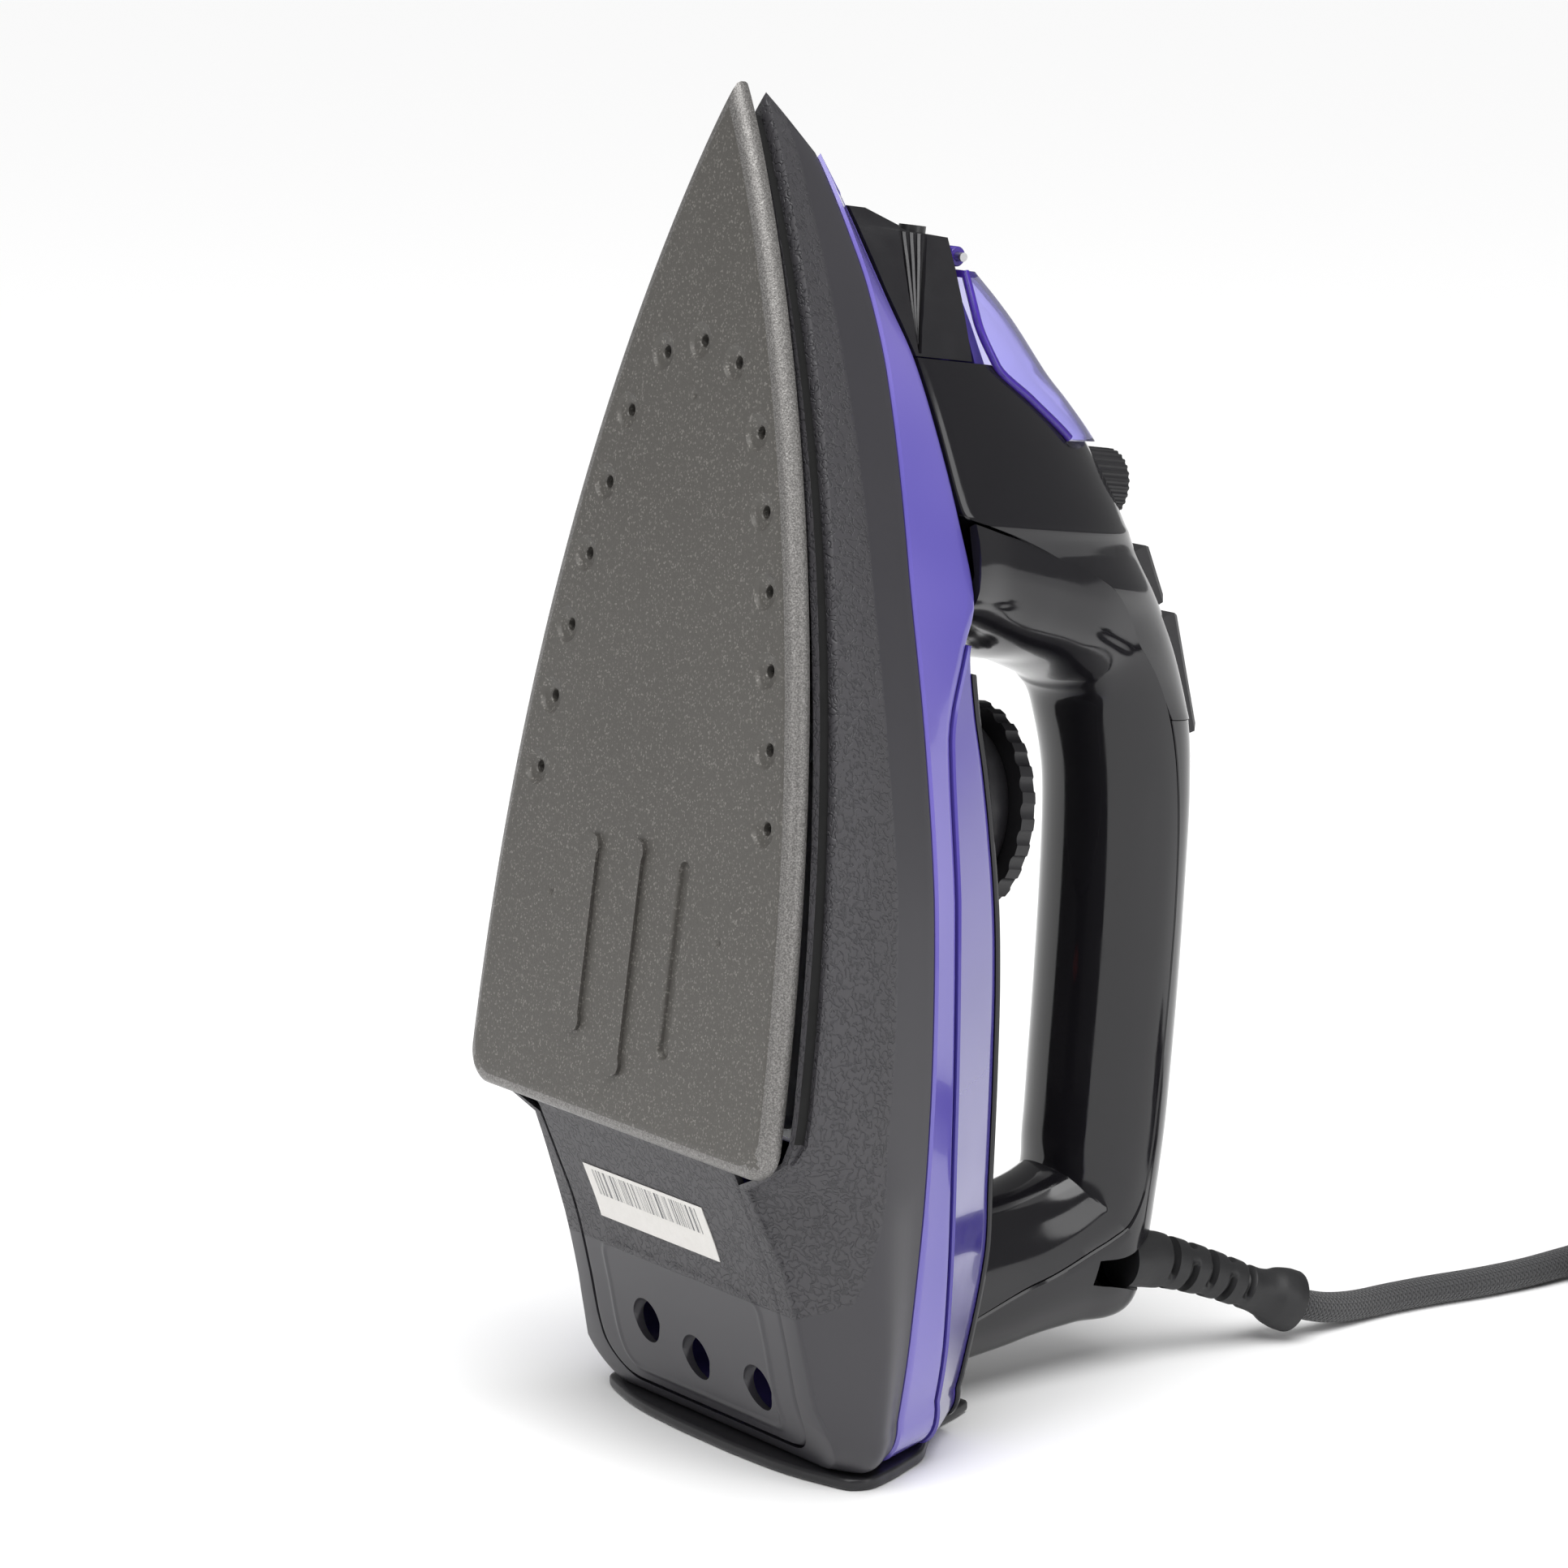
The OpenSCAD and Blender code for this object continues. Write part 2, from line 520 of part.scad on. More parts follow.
module nozzle_block() color("#161518") stand() difference() {
    union() {
        loop_solid([for (b = block) block_loop(b, 0)], 1);
        for (s = [-1, 1]) translate([hinge_x, s * (hinge_half + 1.1), hinge_z]) {
            rotate([90, 0, 0]) cylinder(r = 2.4, h = 1.6, center = true);
            translate([-2.4, -0.8, -4]) cube([4.8, 1.6, 4]);
        }
    }
    loop_solid([for (i = [0:2]) block_loop([block[i][0] - (i == 0 ? 1 : wall * (i - 1)), block[i][1],
        block[i][2] - 1, block[i][3], block[i][4]], wall)], 1);
    translate([px(180), 0, nozzle_z]) rotate([0, 90, 0]) cylinder(r = nozzle_r, h = 30);
    translate([funnel_x, 0, 40]) cylinder(r = funnel_r + 1.6 + fit_gap, h = 40);
    translate([hinge_x, 0, hinge_z]) rotate([90, 0, 0]) cylinder(r = pin_r, h = 40, center = true);
}

module spray_nozzle() color("#26252a") stand() translate([px(188), 0, nozzle_z]) rotate([0, 90, 0])
    difference() {
        union() {
            cylinder(r = nozzle_r - 0.02, h = px(199.6) - px(188));
            cylinder(r = nozzle_r + 0.4, h = 5);
        }
        translate([0, 0, -1]) cylinder(r = 1, h = px(199.6) - px(188) + 0.6);
        cylinder(r = 0.4, h = 30);
    }

// ---------------------------------------------------------------- water door and inlet
hinge_x = px(194);
hinge_z = 61.4;
hinge_half = 5.5;
pin_r = 1;
door_lift = 0.9;
door_wall = 1.6;
// Crown of the door along x
door_crown = px_table([[147, 111], [158, 103], [165, 96], [171.7, 88.5], [181, 79.5], [187, 72.5],
    [192, 65.8]]);
door_base = px_table([[147, 100], [158, 87], [165, 76], [171.7, 65.5], [181, 61.5], [192, 60.6]]);
door_side = px_table([[147, 17.5], [158, 18.4], [165, 18.3], [171.7, 17.6], [181, 14], [192, 8.2]]);
door_nose = hinge_x - 2.8;
door_xs = concat([door_nose], [for (x = [187, 181, 176, 171.7, 165, 160]) px(x)], [door_back + fit_gap]);
door_steps = 12;
function door_loop(x, solid = false) =
    let(crown = lookup(x, door_crown) + door_lift, base = lookup(x, door_base) + fit_gap,
        half = lookup(x, door_side), point = function(a, inset)
            [x, (half - inset) * cos(a), base + (crown - base - inset) * sin(a)])
    concat([for (i = [0:door_steps]) point(180 * i / door_steps, 0)],
        solid ? [] : [for (i = [door_steps:-1:0]) point(180 * i / door_steps, door_wall)]);
module water_door() color("#8b8ee0", 0.75) stand() difference() {
    union() {
        loop_solid([for (x = door_xs) door_loop(x)], 1);
        loop_solid([for (x = [door_nose, door_nose - door_wall]) door_loop(x, true)], 1);
        translate([hinge_x, 0, hinge_z]) rotate([90, 0, 0])
            cylinder(r = 2.2, h = 2 * hinge_half - 0.8, center = true);
        translate([door_nose - 1, -hinge_half + 0.4, hinge_z - 0.4])
            cube([hinge_x - door_nose + 1, 2 * hinge_half - 0.8, 2.6]);
    }
    translate([hinge_x, 0, hinge_z]) rotate([90, 0, 0])
        cylinder(r = pin_r + run_gap, h = 40, center = true);
}
module door_pin() color("#c8c9cb") stand() translate([hinge_x, 0, hinge_z]) rotate([90, 0, 0])
    cylinder(r = pin_r, h = 2 * hinge_half + 3.4, center = true);

// Half width inside the front shell at a place x, z, for a wall of the given inset
function front_at(x, column) = lookup(-x, [for (f = front) [-f[0], f[column]]]);
function front_inside(x, z, inset) =
    let(rise = (z - front_at(x, 1)) / (front_at(x, 3) - front_at(x, 1) - inset))
    (front_at(x, 2) - inset) * sqrt(max(0, 1 - rise * rise));

funnel_r = 6;
funnel_x = px(176);
funnel_tray = [[door_back + 1, 84], [px(168), 67], [px(187), 60.6], [px(187), 59.6], [px(168), 64],
    [door_back + 1, 80.5]];
funnel_edge = [door_back + 1, px(165), px(171.7), px(180), px(187)];
function tray_half(x) = lookup(x, px_table([[157, 15.2], [165, 15], [171.7, 13.4], [180, 10.5], [187, 7.5]]));
module inlet_funnel() color("#3d3766") stand() difference() {
    union() {
        intersection() {
            rotate([90, 0, 0]) linear_extrude(80, center = true) polygon(funnel_tray);
            translate([0, 0, 50]) linear_extrude(60) polygon(concat(
                [for (x = funnel_edge) [x, tray_half(x)]],
                [for (i = [len(funnel_edge) - 1:-1:0]) [funnel_edge[i], -tray_half(funnel_edge[i])]]));
        }
        translate([funnel_x, 0, floor_z + 2]) cylinder(r = funnel_r + 1.6, h = 65.5 - floor_z - 2);
    }
    translate([funnel_x, 0, floor_z + 1]) cylinder(r = funnel_r, h = 60);
    translate([funnel_x, 0, floor_z + 7]) rotate([90, 0, 0]) cylinder(r = 3, h = 30, center = true);
    rotate([90, 0, 0]) linear_extrude(80, center = true)
        polygon([[px(190), 60.6], [px(168), 67], [px(168), 90], [px(190), 90]]);
}
module inlet_seal() color("#2c2a2e") stand() translate([funnel_x, 0, floor_z + 2]) difference() {
    cylinder(r = funnel_r + 4, h = 2);
    translate([0, 0, -1]) cylinder(r = funnel_r + 1.6, h = 4);
}

// ---------------------------------------------------------------- buttons, knob and valve
knob_x = px(147.5);
knob_z = 104;
stem_r = 2.5;
seat_r = 5;
shaft_r = 2.5;

cap_t = 6;
cap_gap = 0.4;
module at_button(b) {
    translate([b[0], 0, b[1]]) rotate([0, b[2], 0]) children();
}
module button_slots() {
    for (b = [spray_at, steam_at]) at_button(b)
        translate([-b[3] - cap_gap, -button_half_w - cap_gap, -14])
            cube([2 * (b[3] + cap_gap), 2 * (button_half_w + cap_gap), 24]);
}
guide_top = -cap_t - button_travel - 1;
guide_t = 3;
stem_end = -18;
cup_r = 4.6;
cup_end = -26;
module button_body(b) {
    at_button(b) {
        hull() {
            translate([-b[3], -button_half_w, -cap_t]) cube([2 * b[3], 2 * button_half_w, cap_t - 1.5]);
            translate([-b[3] + 1.2, -button_half_w + 1.2, -1])
                cube([2 * b[3] - 2.4, 2 * button_half_w - 2.4, 1]);
        }
        translate([0, 0, stem_end]) cylinder(r = stem_r, h = -stem_end - cap_t + eps);
        translate([0, 0, stem_end]) cylinder(r = cup_r - run_gap, h = 2.5);
    }
}
module button_pump(b) {
    at_button(b) difference() {
        translate([0, 0, cup_end - 1.5])
            cylinder(r = cup_r + 1.4, h = guide_top - guide_t - cup_end + 1.5);
        translate([0, 0, cup_end]) cylinder(r = cup_r, h = 30);
    }
}
module button_spring(b) {
    at_button(b) translate([0, 0, cup_end]) difference() {
        cylinder(r = cup_r - 0.5, h = stem_end - button_travel - cup_end - 0.5);
        translate([0, 0, -1]) cylinder(r = cup_r - 1.3, h = 20);
    }
}
module spray_button() color("#232226") stand() button_body(spray_at);
module steam_button() color("#232226") stand() button_body(steam_at);
module spray_pump() color("#d9d7d2") stand() button_pump(spray_at);
module steam_pump() color("#d9d7d2") stand() button_pump(steam_at);
module spray_spring() color("#b4b6b8") stand() button_spring(spray_at);
module steam_spring() color("#b4b6b8") stand() button_spring(steam_at);

frame_half = 9;
module guide_pad(b, back, ahead) {
    at_button(b) translate([-back, -frame_half, guide_top - guide_t])
        cube([back + ahead, 2 * frame_half, guide_t]);
}
knob_pad = [for (x = [139, 143, 147.5, 151]) px(x)];
knob_pad_z = 96;
knob_pad_t = 4;
module control_frame() color("#e4e1da") stand() difference() {
    union() {
        guide_pad(spray_at, 7.5, 8);
        guide_pad(steam_at, 9.5, 11);
        at_button(spray_at) translate([-12, -frame_half, guide_top - guide_t])
            cube([6, 2 * frame_half, 3.5]);
        translate([0, 0, knob_pad_z]) linear_extrude(knob_pad_t) polygon(concat(
            [for (x = knob_pad) [x, pad_half(x)]],
            [for (i = [len(knob_pad) - 1:-1:0]) [knob_pad[i], -pad_half(knob_pad[i])]]));
        rotate([90, 0, 0]) linear_extrude(2 * frame_half, center = true)
            polygon([[px(125), 108], [px(139), 96], [px(141), 100], [px(130), 112]]);
    }
    for (b = [spray_at, steam_at]) at_button(b) {
        translate([0, 0, -30]) cylinder(r = stem_r + run_gap, h = 30);
        translate([-b[3] - 1, -button_half_w - 1, guide_top])
            cube([2 * b[3] + 2, 2 * button_half_w + 2, 20]);
        translate([0, 0, cup_end - 2]) cylinder(r = cup_r + 1.8, h = guide_top - guide_t - cup_end + 2);
    }
    translate([knob_x, 0, knob_pad_z - 10]) cylinder(r = 3 + run_gap, h = 20);
}
function pad_half(x) = front_inside(x, knob_pad_z + knob_pad_t, wall) - 0.7;

knurl_count = 30;
module steam_knob() color("#2a292d") stand() translate([knob_x, 0, knob_z]) {
    difference() {
        cylinder(r = knob_r, h = knob_h);
        for (i = [0:knurl_count - 1]) rotate([0, 0, i * 360 / knurl_count])
            translate([knob_r + 0.35, 0, 2]) cylinder(r = 0.7, h = knob_h);
    }
    translate([0, 0, -14]) cylinder(r = 3, h = 14 + eps);
}
rod_end = floor_z + 2.6;
module valve_rod() color("#c2c4c6") stand() translate([knob_x, 0, rod_end])
    cylinder(r = 1.6, h = knob_z - 14 - rod_end);
module valve_seat() color("#d5b25a") stand() difference() {
    union() {
        translate([valve_x - 8, 0, cast_top + 1.2]) cylinder(r = seat_r, h = 12);
        translate([valve_x - 8, -3, floor_z + 2]) cube([8, 6, 1.3]);
        translate([valve_x, 0, floor_z + 2]) cylinder(r = 3, h = 6);
    }
    translate([valve_x, 0, rod_end - 0.5]) cylinder(r = 1.6 + run_gap, h = 10);
    translate([valve_x - 8, 0, 0]) cylinder(r = 1.5, h = floor_z - 2);
}

// ---------------------------------------------------------------- temperature dial
dial_z = 83.2;
cone_top_r = 20;
cone_base_z = [56, 66];
hub_r = 4;
module dial_base() color("#19181b") stand() translate([dial_x, 0, 0]) difference() {
    rotate_extrude() polygon([[0, dial_z - 0.4], [cone_top_r, dial_z - 0.4],
        [cone_r, cone_base_z[1]], [cone_r, cone_base_z[0]], [cone_r - wall, cone_base_z[0]],
        [cone_r - wall, cone_base_z[1] - 0.8], [cone_top_r - 1.4, dial_z - 0.4 - wall],
        [0, dial_z - 0.4 - wall]]);
    translate([0, 0, dial_z - 10]) cylinder(r = hub_r + run_gap, h = 20);
}
scallops = 26;
module temperature_dial() color("#242327") stand() translate([dial_x, 0, dial_z]) {
    difference() {
        union() {
            cylinder(r = dial_r, h = dial_t - 1);
            translate([0, 0, dial_t - 1 - eps]) cylinder(r1 = dial_r - 0.4, r2 = dial_r - 1.6, h = 1);
            translate([0, 0, dial_t - eps]) cylinder(r = dial_r * 0.62, h = 1.4);
        }
        for (i = [0:scallops - 1]) rotate([0, 0, i * 360 / scallops])
            translate([dial_r + 1.7, 0, -1]) cylinder(r = 2.5, h = 10);
    }
    translate([0, 0, -12]) cylinder(r = hub_r, h = 12 + eps);
}
module dial_shaft() color("#c2c4c6") stand() translate([dial_x, 0, cast_top + 6])
    cylinder(r = shaft_r, h = dial_z - 12 - cast_top - 6);

lamp_x = px(27);
lamp_r = 4;
lamp_base = 63;
module pilot_lamp() color("#b33a2c") stand() translate([lamp_x, 0, lamp_base]) {
    cylinder(r = lamp_r, h = 7.6);
    translate([0, 0, 7.6]) difference() {
        sphere(lamp_r - 0.4);
        translate([0, 0, -10 - eps]) cube(20, center = true);
    }
}

// ---------------------------------------------------------------- wiring in the handle
wire_z = 129.7;
module terminal_block() color("#e6e2d6") stand() translate([px(12), 0, wire_z]) difference() {
    cube([26, 18, 9], center = true);
    for (k = [-1:1]) translate([0, k * 5.6, 0]) rotate([0, 90, 0]) cylinder(r = 1.5, h = 40, center = true);
    for (k = [-1:1], s = [-1, 1]) translate([s * 8, k * 5.6, 3]) cylinder(r = 1.6, h = 4);
}
module handle_wires() color("#7a4a2c") stand() for (k = [-1:1])
    translate([px(12) - 25, k * 5.6, wire_z]) rotate([0, 90, 0]) cylinder(r = 1.3, h = 60);
module cord_clamp() color("#d7d3c7") stand() translate([-18, 0, wire_z]) difference() {
    cube([8, 20, 8], center = true);
    rotate([0, 90, 0]) cylinder(r = 1.4, h = 20, center = true);
    for (s = [-1, 1]) translate([0, s * 5.6, 0]) rotate([0, 90, 0]) cylinder(r = 1.4, h = 20, center = true);
}

// ---------------------------------------------------------------- cord
// Sections swept along a route: each point has its own radius
cord_sides = 10;
function unit(v) = v / norm(v);
function heading(p, i) = unit(p[min(i + 1, len(p) - 1)] - p[max(i - 1, 0)]);
function tube_loops(p, r) = [for (i = [0:len(p) - 1])
    let(d = heading(p, i), side = unit(cross(d, [0.13, 0.21, 1])), up = cross(side, d))
    [for (k = [0:cord_sides - 1]) p[i] + r[i] * (cos(360 * k / cord_sides) * side
        + sin(360 * k / cord_sides) * up)]];
// Smooth curve through points, with steps spans between each pair
function curve_at(p, i, t) =
    let(a = p[max(i - 1, 0)], b = p[i], c = p[i + 1], d = p[min(i + 2, len(p) - 1)])
    0.5 * (2 * b + (c - a) * t + (2 * a - 5 * b + 4 * c - d) * t * t
        + (3 * b - a - 3 * c + d) * t * t * t);
function curve(p, steps) = concat([for (i = [0:len(p) - 2], k = [0:steps - 1])
    curve_at(p, i, k / steps)], [p[len(p) - 1]]);

// The gland leaves the top of the handle and droops; its points are in the standing frame
gland_exit = [-29, 8, 150];
function standing(p) = [centre_x + sin(lean) * p[0] + cos(lean) * p[2], -p[1],
    heel_drop + cos(lean) * p[0] - sin(lean) * p[2]];
gland_path = [for (p = [[0, 0, -8], [0, 0, 0], [-1.6, 1.4, 10], [-4, 3, 20], [-6.9, 4.7, 30],
    [-9.4, 6, 40]]) standing(gland_exit + p)];
gland_radii = [6.6, 6.6, 6.2, 5.8, 5.4, 5.4, 5.2, 5.2, 5, 5, 5, 5.2, 5.6, 6.2, 7.2, 7.4];
module gland_hole() {
    translate(gland_exit + [0, 0, -20]) cylinder(r = 7.2, h = 40);
}
module cord_gland() color("#1d1c1e") {
    path = curve(gland_path, 3);
    loop_solid(tube_loops(path, gland_radii), 1);
}
// Coil of the length that is put away, two turns wide; the cord comes in and leaves along a tangent
coil_mid_r = 37;
coil_layers = 3;
coil_place = [220, -56.6];
tie_t = 0.8;
module cord_coil() color("#222124") translate([coil_place[0], coil_place[1], tie_t]) rotate_extrude()
    translate([coil_mid_r - cord_d, 0]) square([2 * cord_d, coil_layers * cord_d]);
module coil_tie() color("#111013")
    translate([coil_place[0], coil_place[1] - coil_mid_r, coil_layers * cord_d / 2 + tie_t])
    difference() {
        cube([9, 2 * (cord_d + tie_t) + 1.2, coil_layers * cord_d + 2 * tie_t], center = true);
        cube([12, 2 * cord_d + 1.2, coil_layers * cord_d], center = true);
    }

// Route of the cord from the gland's end over the standing surface
lie = cord_d / 2;
cord_start = gland_path[5] + [0.6, 0, -0.2];
cord_route = concat([cord_start], [[108, -14.4, lie + 3.3], [113.5, -14.4, lie + 1.8],
    [120, -13.8, lie + 0.7], [127, -13.2, lie + 0.1], [136, -13, lie], [148, -13.8, lie],
    [162, -15.5, lie], [176, -16.2, lie + 0.1], [188, -16, lie + 0.5],
    [coil_place[0] - 25.5, -16, lie + tie_t]]);
module power_cord() color("#222124") {
    path = curve(cord_route, 3);
    loop_solid(tube_loops(path, [for (p = path) cord_d / 2]), 1);
}

// Plug beside the coil, lying flat with its back to it
plug_r = 18.5;
plug_flat = 11.5;
plug_back = [coil_place[0] + coil_mid_r + 3.6, coil_place[1] - 34];
tail_route = [[plug_back[0], plug_back[1] + 9.5, plug_flat + 1.6],
    [plug_back[0], plug_back[1] + 6, plug_flat + 0.7], [plug_back[0], plug_back[1] + 2.5, plug_flat + 0.1],
    [plug_back[0], plug_back[1] + 0.2, plug_flat]];
module cord_tail() color("#222124") {
    path = curve(tail_route, 2);
    loop_solid(tube_loops(path, [for (p = path) cord_d / 2]), 1);
}
module at_plug(back) {
    translate([plug_back[0], plug_back[1] - back, plug_flat]) rotate([90, 0, 0]) children();
}
module plug_body() color("#1b1a1c") {
    at_plug(0) cylinder(r1 = 5.6, r2 = 8, h = 16);
    at_plug(16) intersection() {
        cylinder(r = plug_r, h = 17);
        translate([-plug_r, -plug_flat, 0]) cube([2 * plug_r, 2 * plug_flat, 17]);
    }
}
module plug_pins() color("#c9cacc") at_plug(33) for (s = [-1, 1])
    translate([s * plug_pin_pitch / 2, 0, 0]) cylinder(r = plug_pin_r, h = plug_pin_l);

soleplate();
heater_casting();
heating_element();
steam_chamber_cover();
thermostat();
thermal_fuse();
heat_shield();
casting_screws();
skirt();
heel_cover();
heel_plate();
rating_label();
tank_lower();
tank_upper();
tank_floor();
deck();
front_shell();
nozzle_block();
spray_nozzle();
inlet_funnel();
inlet_seal();
water_door();
door_pin();
grip_shell();
handle_cover();
control_frame();
steam_knob();
valve_rod();
valve_seat();
spray_button();
spray_pump();
spray_spring();
steam_button();
steam_pump();
steam_spring();
temperature_dial();
dial_shaft();
dial_base();
pilot_lamp();
terminal_block();
cord_clamp();
handle_wires();
cord_gland();
power_cord();
cord_coil();
coil_tie();
cord_tail();
plug_body();
plug_pins();
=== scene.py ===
# Looks of the standing steam iron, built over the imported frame.
import json
import math
import bmesh
import bpy
import numpy as np
from mathutils import Euler, Matrix, Vector


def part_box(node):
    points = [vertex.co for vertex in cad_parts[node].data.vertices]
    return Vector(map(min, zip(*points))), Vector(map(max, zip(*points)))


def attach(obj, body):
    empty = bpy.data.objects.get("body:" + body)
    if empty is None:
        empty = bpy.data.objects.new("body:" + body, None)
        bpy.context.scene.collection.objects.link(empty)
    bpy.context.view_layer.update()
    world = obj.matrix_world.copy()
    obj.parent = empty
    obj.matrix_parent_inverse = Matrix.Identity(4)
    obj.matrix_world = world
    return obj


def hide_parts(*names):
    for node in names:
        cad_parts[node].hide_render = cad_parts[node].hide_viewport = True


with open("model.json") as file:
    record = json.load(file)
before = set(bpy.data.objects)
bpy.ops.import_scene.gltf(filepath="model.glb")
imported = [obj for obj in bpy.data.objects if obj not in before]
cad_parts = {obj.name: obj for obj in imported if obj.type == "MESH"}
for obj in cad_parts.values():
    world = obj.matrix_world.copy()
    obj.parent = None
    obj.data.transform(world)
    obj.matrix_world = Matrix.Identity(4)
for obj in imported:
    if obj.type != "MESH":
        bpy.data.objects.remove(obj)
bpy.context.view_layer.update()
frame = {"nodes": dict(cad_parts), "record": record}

# ------------------------------------------------------------------ places
# Shapes are written in the iron's working frame, in millimetres: X heel to nose, Y left, Z up
# from the pressing face. stand() turns them to the standing attitude, in metres.
LEAN = math.radians(8.5)
SIN, COS = math.sin(LEAN), math.cos(LEAN)
DROP = 74.7
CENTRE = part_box("soleplate")[0][0] * 1000


def stand(points):
    p = np.asarray(points, float).reshape(-1, 3)
    return np.stack([CENTRE + SIN * p[:, 0] + COS * p[:, 2], -p[:, 1],
                     DROP + COS * p[:, 0] - SIN * p[:, 2]], 1) / 1000


def smooth(table):
    """Monotone cubic curve through the rows of a table: first column in, the rest out."""
    t = np.array(sorted(table), float)
    x, y = t[:, 0], t[:, 1:]
    h = np.diff(x)[:, None]
    d = np.diff(y, axis=0) / h
    m = np.zeros_like(y)
    m[0], m[-1] = d[0], d[-1]
    for k in range(1, len(x) - 1):
        w1, w2 = 2 * h[k] + h[k - 1], h[k] + 2 * h[k - 1]
        same = d[k - 1] * d[k] > 0
        with np.errstate(divide="ignore", invalid="ignore"):
            m[k] = np.where(same, (w1 + w2) / (w1 / d[k - 1] + w2 / d[k]), 0)

    def at(v):
        v = np.clip(np.atleast_1d(np.asarray(v, float)), x[0], x[-1])
        k = np.clip(np.searchsorted(x, v, side="right") - 1, 0, len(x) - 2)
        s = ((v - x[k]) / h[k, 0])[:, None]
        out = ((1 + 2 * s) * (1 - s) ** 2 * y[k] + s * (1 - s) ** 2 * h[k] * m[k]
               + s * s * (3 - 2 * s) * y[k + 1] + s * s * (s - 1) * h[k] * m[k + 1])
        return out[:, 0] if out.shape[1] == 1 else out
    return at


def ease(s):
    """From 0 to 1 with a level start and end."""
    return s * s * (3 - 2 * s)


def in_scene(name, data):
    obj = bpy.data.objects.new(name, data)
    bpy.context.scene.collection.objects.link(obj)
    return obj


# ------------------------------------------------------------------ camera
EYE = Vector((-0.683429, -0.91433, 0.361456))
BACK = Vector((-0.56949, -0.799886, 0.189377))
RIGHT = Vector((0.814647, -0.579958, 0.000178))
UP = Vector((0.109688, 0.154377, 0.981904))
camera = in_scene("camera", bpy.data.cameras.new("camera"))
camera.data.lens = 120.927
camera.data.sensor_width = 36
camera.data.clip_end = 60
camera.matrix_world = Matrix((
    (RIGHT[0], UP[0], BACK[0], EYE[0]), (RIGHT[1], UP[1], BACK[1], EYE[1]),
    (RIGHT[2], UP[2], BACK[2], EYE[2]), (0, 0, 0, 1)))
bpy.context.scene.camera = camera


# ------------------------------------------------------------------ mesh helpers
def meshed(name, points, faces, merge):
    """Object from points in metres, with those nearer than merge made one."""
    mesh = bpy.data.meshes.new(name)
    mesh.from_pydata([tuple(p) for p in points], [], [tuple(int(i) for i in f) for f in faces])
    mesh.validate()
    b = bmesh.new()
    b.from_mesh(mesh)
    bmesh.ops.remove_doubles(b, verts=b.verts, dist=merge)
    bmesh.ops.recalc_face_normals(b, faces=b.faces)
    b.to_mesh(mesh)
    b.free()
    return in_scene(name, mesh)


def scratch(name, verts, faces):
    """Cutter for a boolean, thrown away after use."""
    return meshed(name, stand(verts), faces, 1e-6)


def piece(name, verts, faces, body, material, replaces=(), standing=True, angle=35):
    """New piece from points of the working frame (or, not standing, metres of the frame)."""
    obj = meshed(name, stand(verts) if standing else np.asarray(verts, float), faces, 2e-6)
    for mat in material if isinstance(material, (list, tuple)) else [material]:
        obj.data.materials.append(mat)
    shade(obj, angle)
    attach(obj, body)
    if replaces:
        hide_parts(*replaces)
    return obj


def shade(obj, angle=35):
    for p in obj.data.polygons:
        p.use_smooth = True
    obj.data.set_sharp_from_angle(angle=math.radians(angle))


def bevel(obj, width, segments=2, angle=35):
    m = obj.modifiers.new("edge", "BEVEL")
    m.width = width / 1000
    m.segments = segments
    m.limit_method = "ANGLE"
    m.angle_limit = math.radians(angle)
    m.use_clamp_overlap = True
    m.harden_normals = True


def cut(obj, cutters, angle=35):
    """Take each cutter away, with the result kept as the object's mesh."""
    for c in cutters:
        m = obj.modifiers.new("cut", "BOOLEAN")
        m.operation = "DIFFERENCE"
        m.solver = "EXACT"
        m.object = c
    bpy.context.view_layer.update()
    graph = bpy.context.evaluated_depsgraph_get()
    mesh = bpy.data.meshes.new_from_object(obj.evaluated_get(graph))
    obj.modifiers.clear()
    old = obj.data
    obj.data = mesh
    bpy.data.meshes.remove(old)
    for c in cutters:
        bpy.data.objects.remove(c)
    shade(obj, angle)


def tube_faces(m, n, wrap=False):
    """Quads that join m loops of n points."""
    return [(k * n + i, k * n + (i + 1) % n, ((k + 1) % m) * n + (i + 1) % n, ((k + 1) % m) * n + i)
            for k in range(m if wrap else m - 1) for i in range(n)]


def shell(rings, closed=True):
    return np.concatenate(rings), tube_faces(len(rings), len(rings[0]), closed)


def cap_faces(n, first):
    """Quads across a loop whose point i faces point n - i."""
    return [tuple(first + v for v in f) for f in
            [(0, 1, n - 1)] + [(i, i + 1, n - i - 1, n - i) for i in range(1, n // 2 - 1)]
            + [(n // 2 - 1, n // 2, n // 2 + 1)]]


def capped(rings):
    """Points and faces of a tube through mirrored rings, with quads across both ends."""
    n = len(rings[0])
    v, f = shell(rings, False)
    return v, f + cap_faces(n, 0) + cap_faces(n, (len(rings) - 1) * n)


def solid(loops):
    """Points and faces of a tube through the loops, with both ends closed."""
    n, last = len(loops[0]), (len(loops) - 1) * len(loops[0])
    v, f = shell(loops, False)
    return v, f + [tuple(range(n)), tuple(range(last, last + n))]


def prism_faces(n):
    """Faces between two polygons of n points."""
    return ([tuple(range(n)), tuple(range(n, 2 * n))]
            + [(i, (i + 1) % n, n + (i + 1) % n, n + i) for i in range(n)])


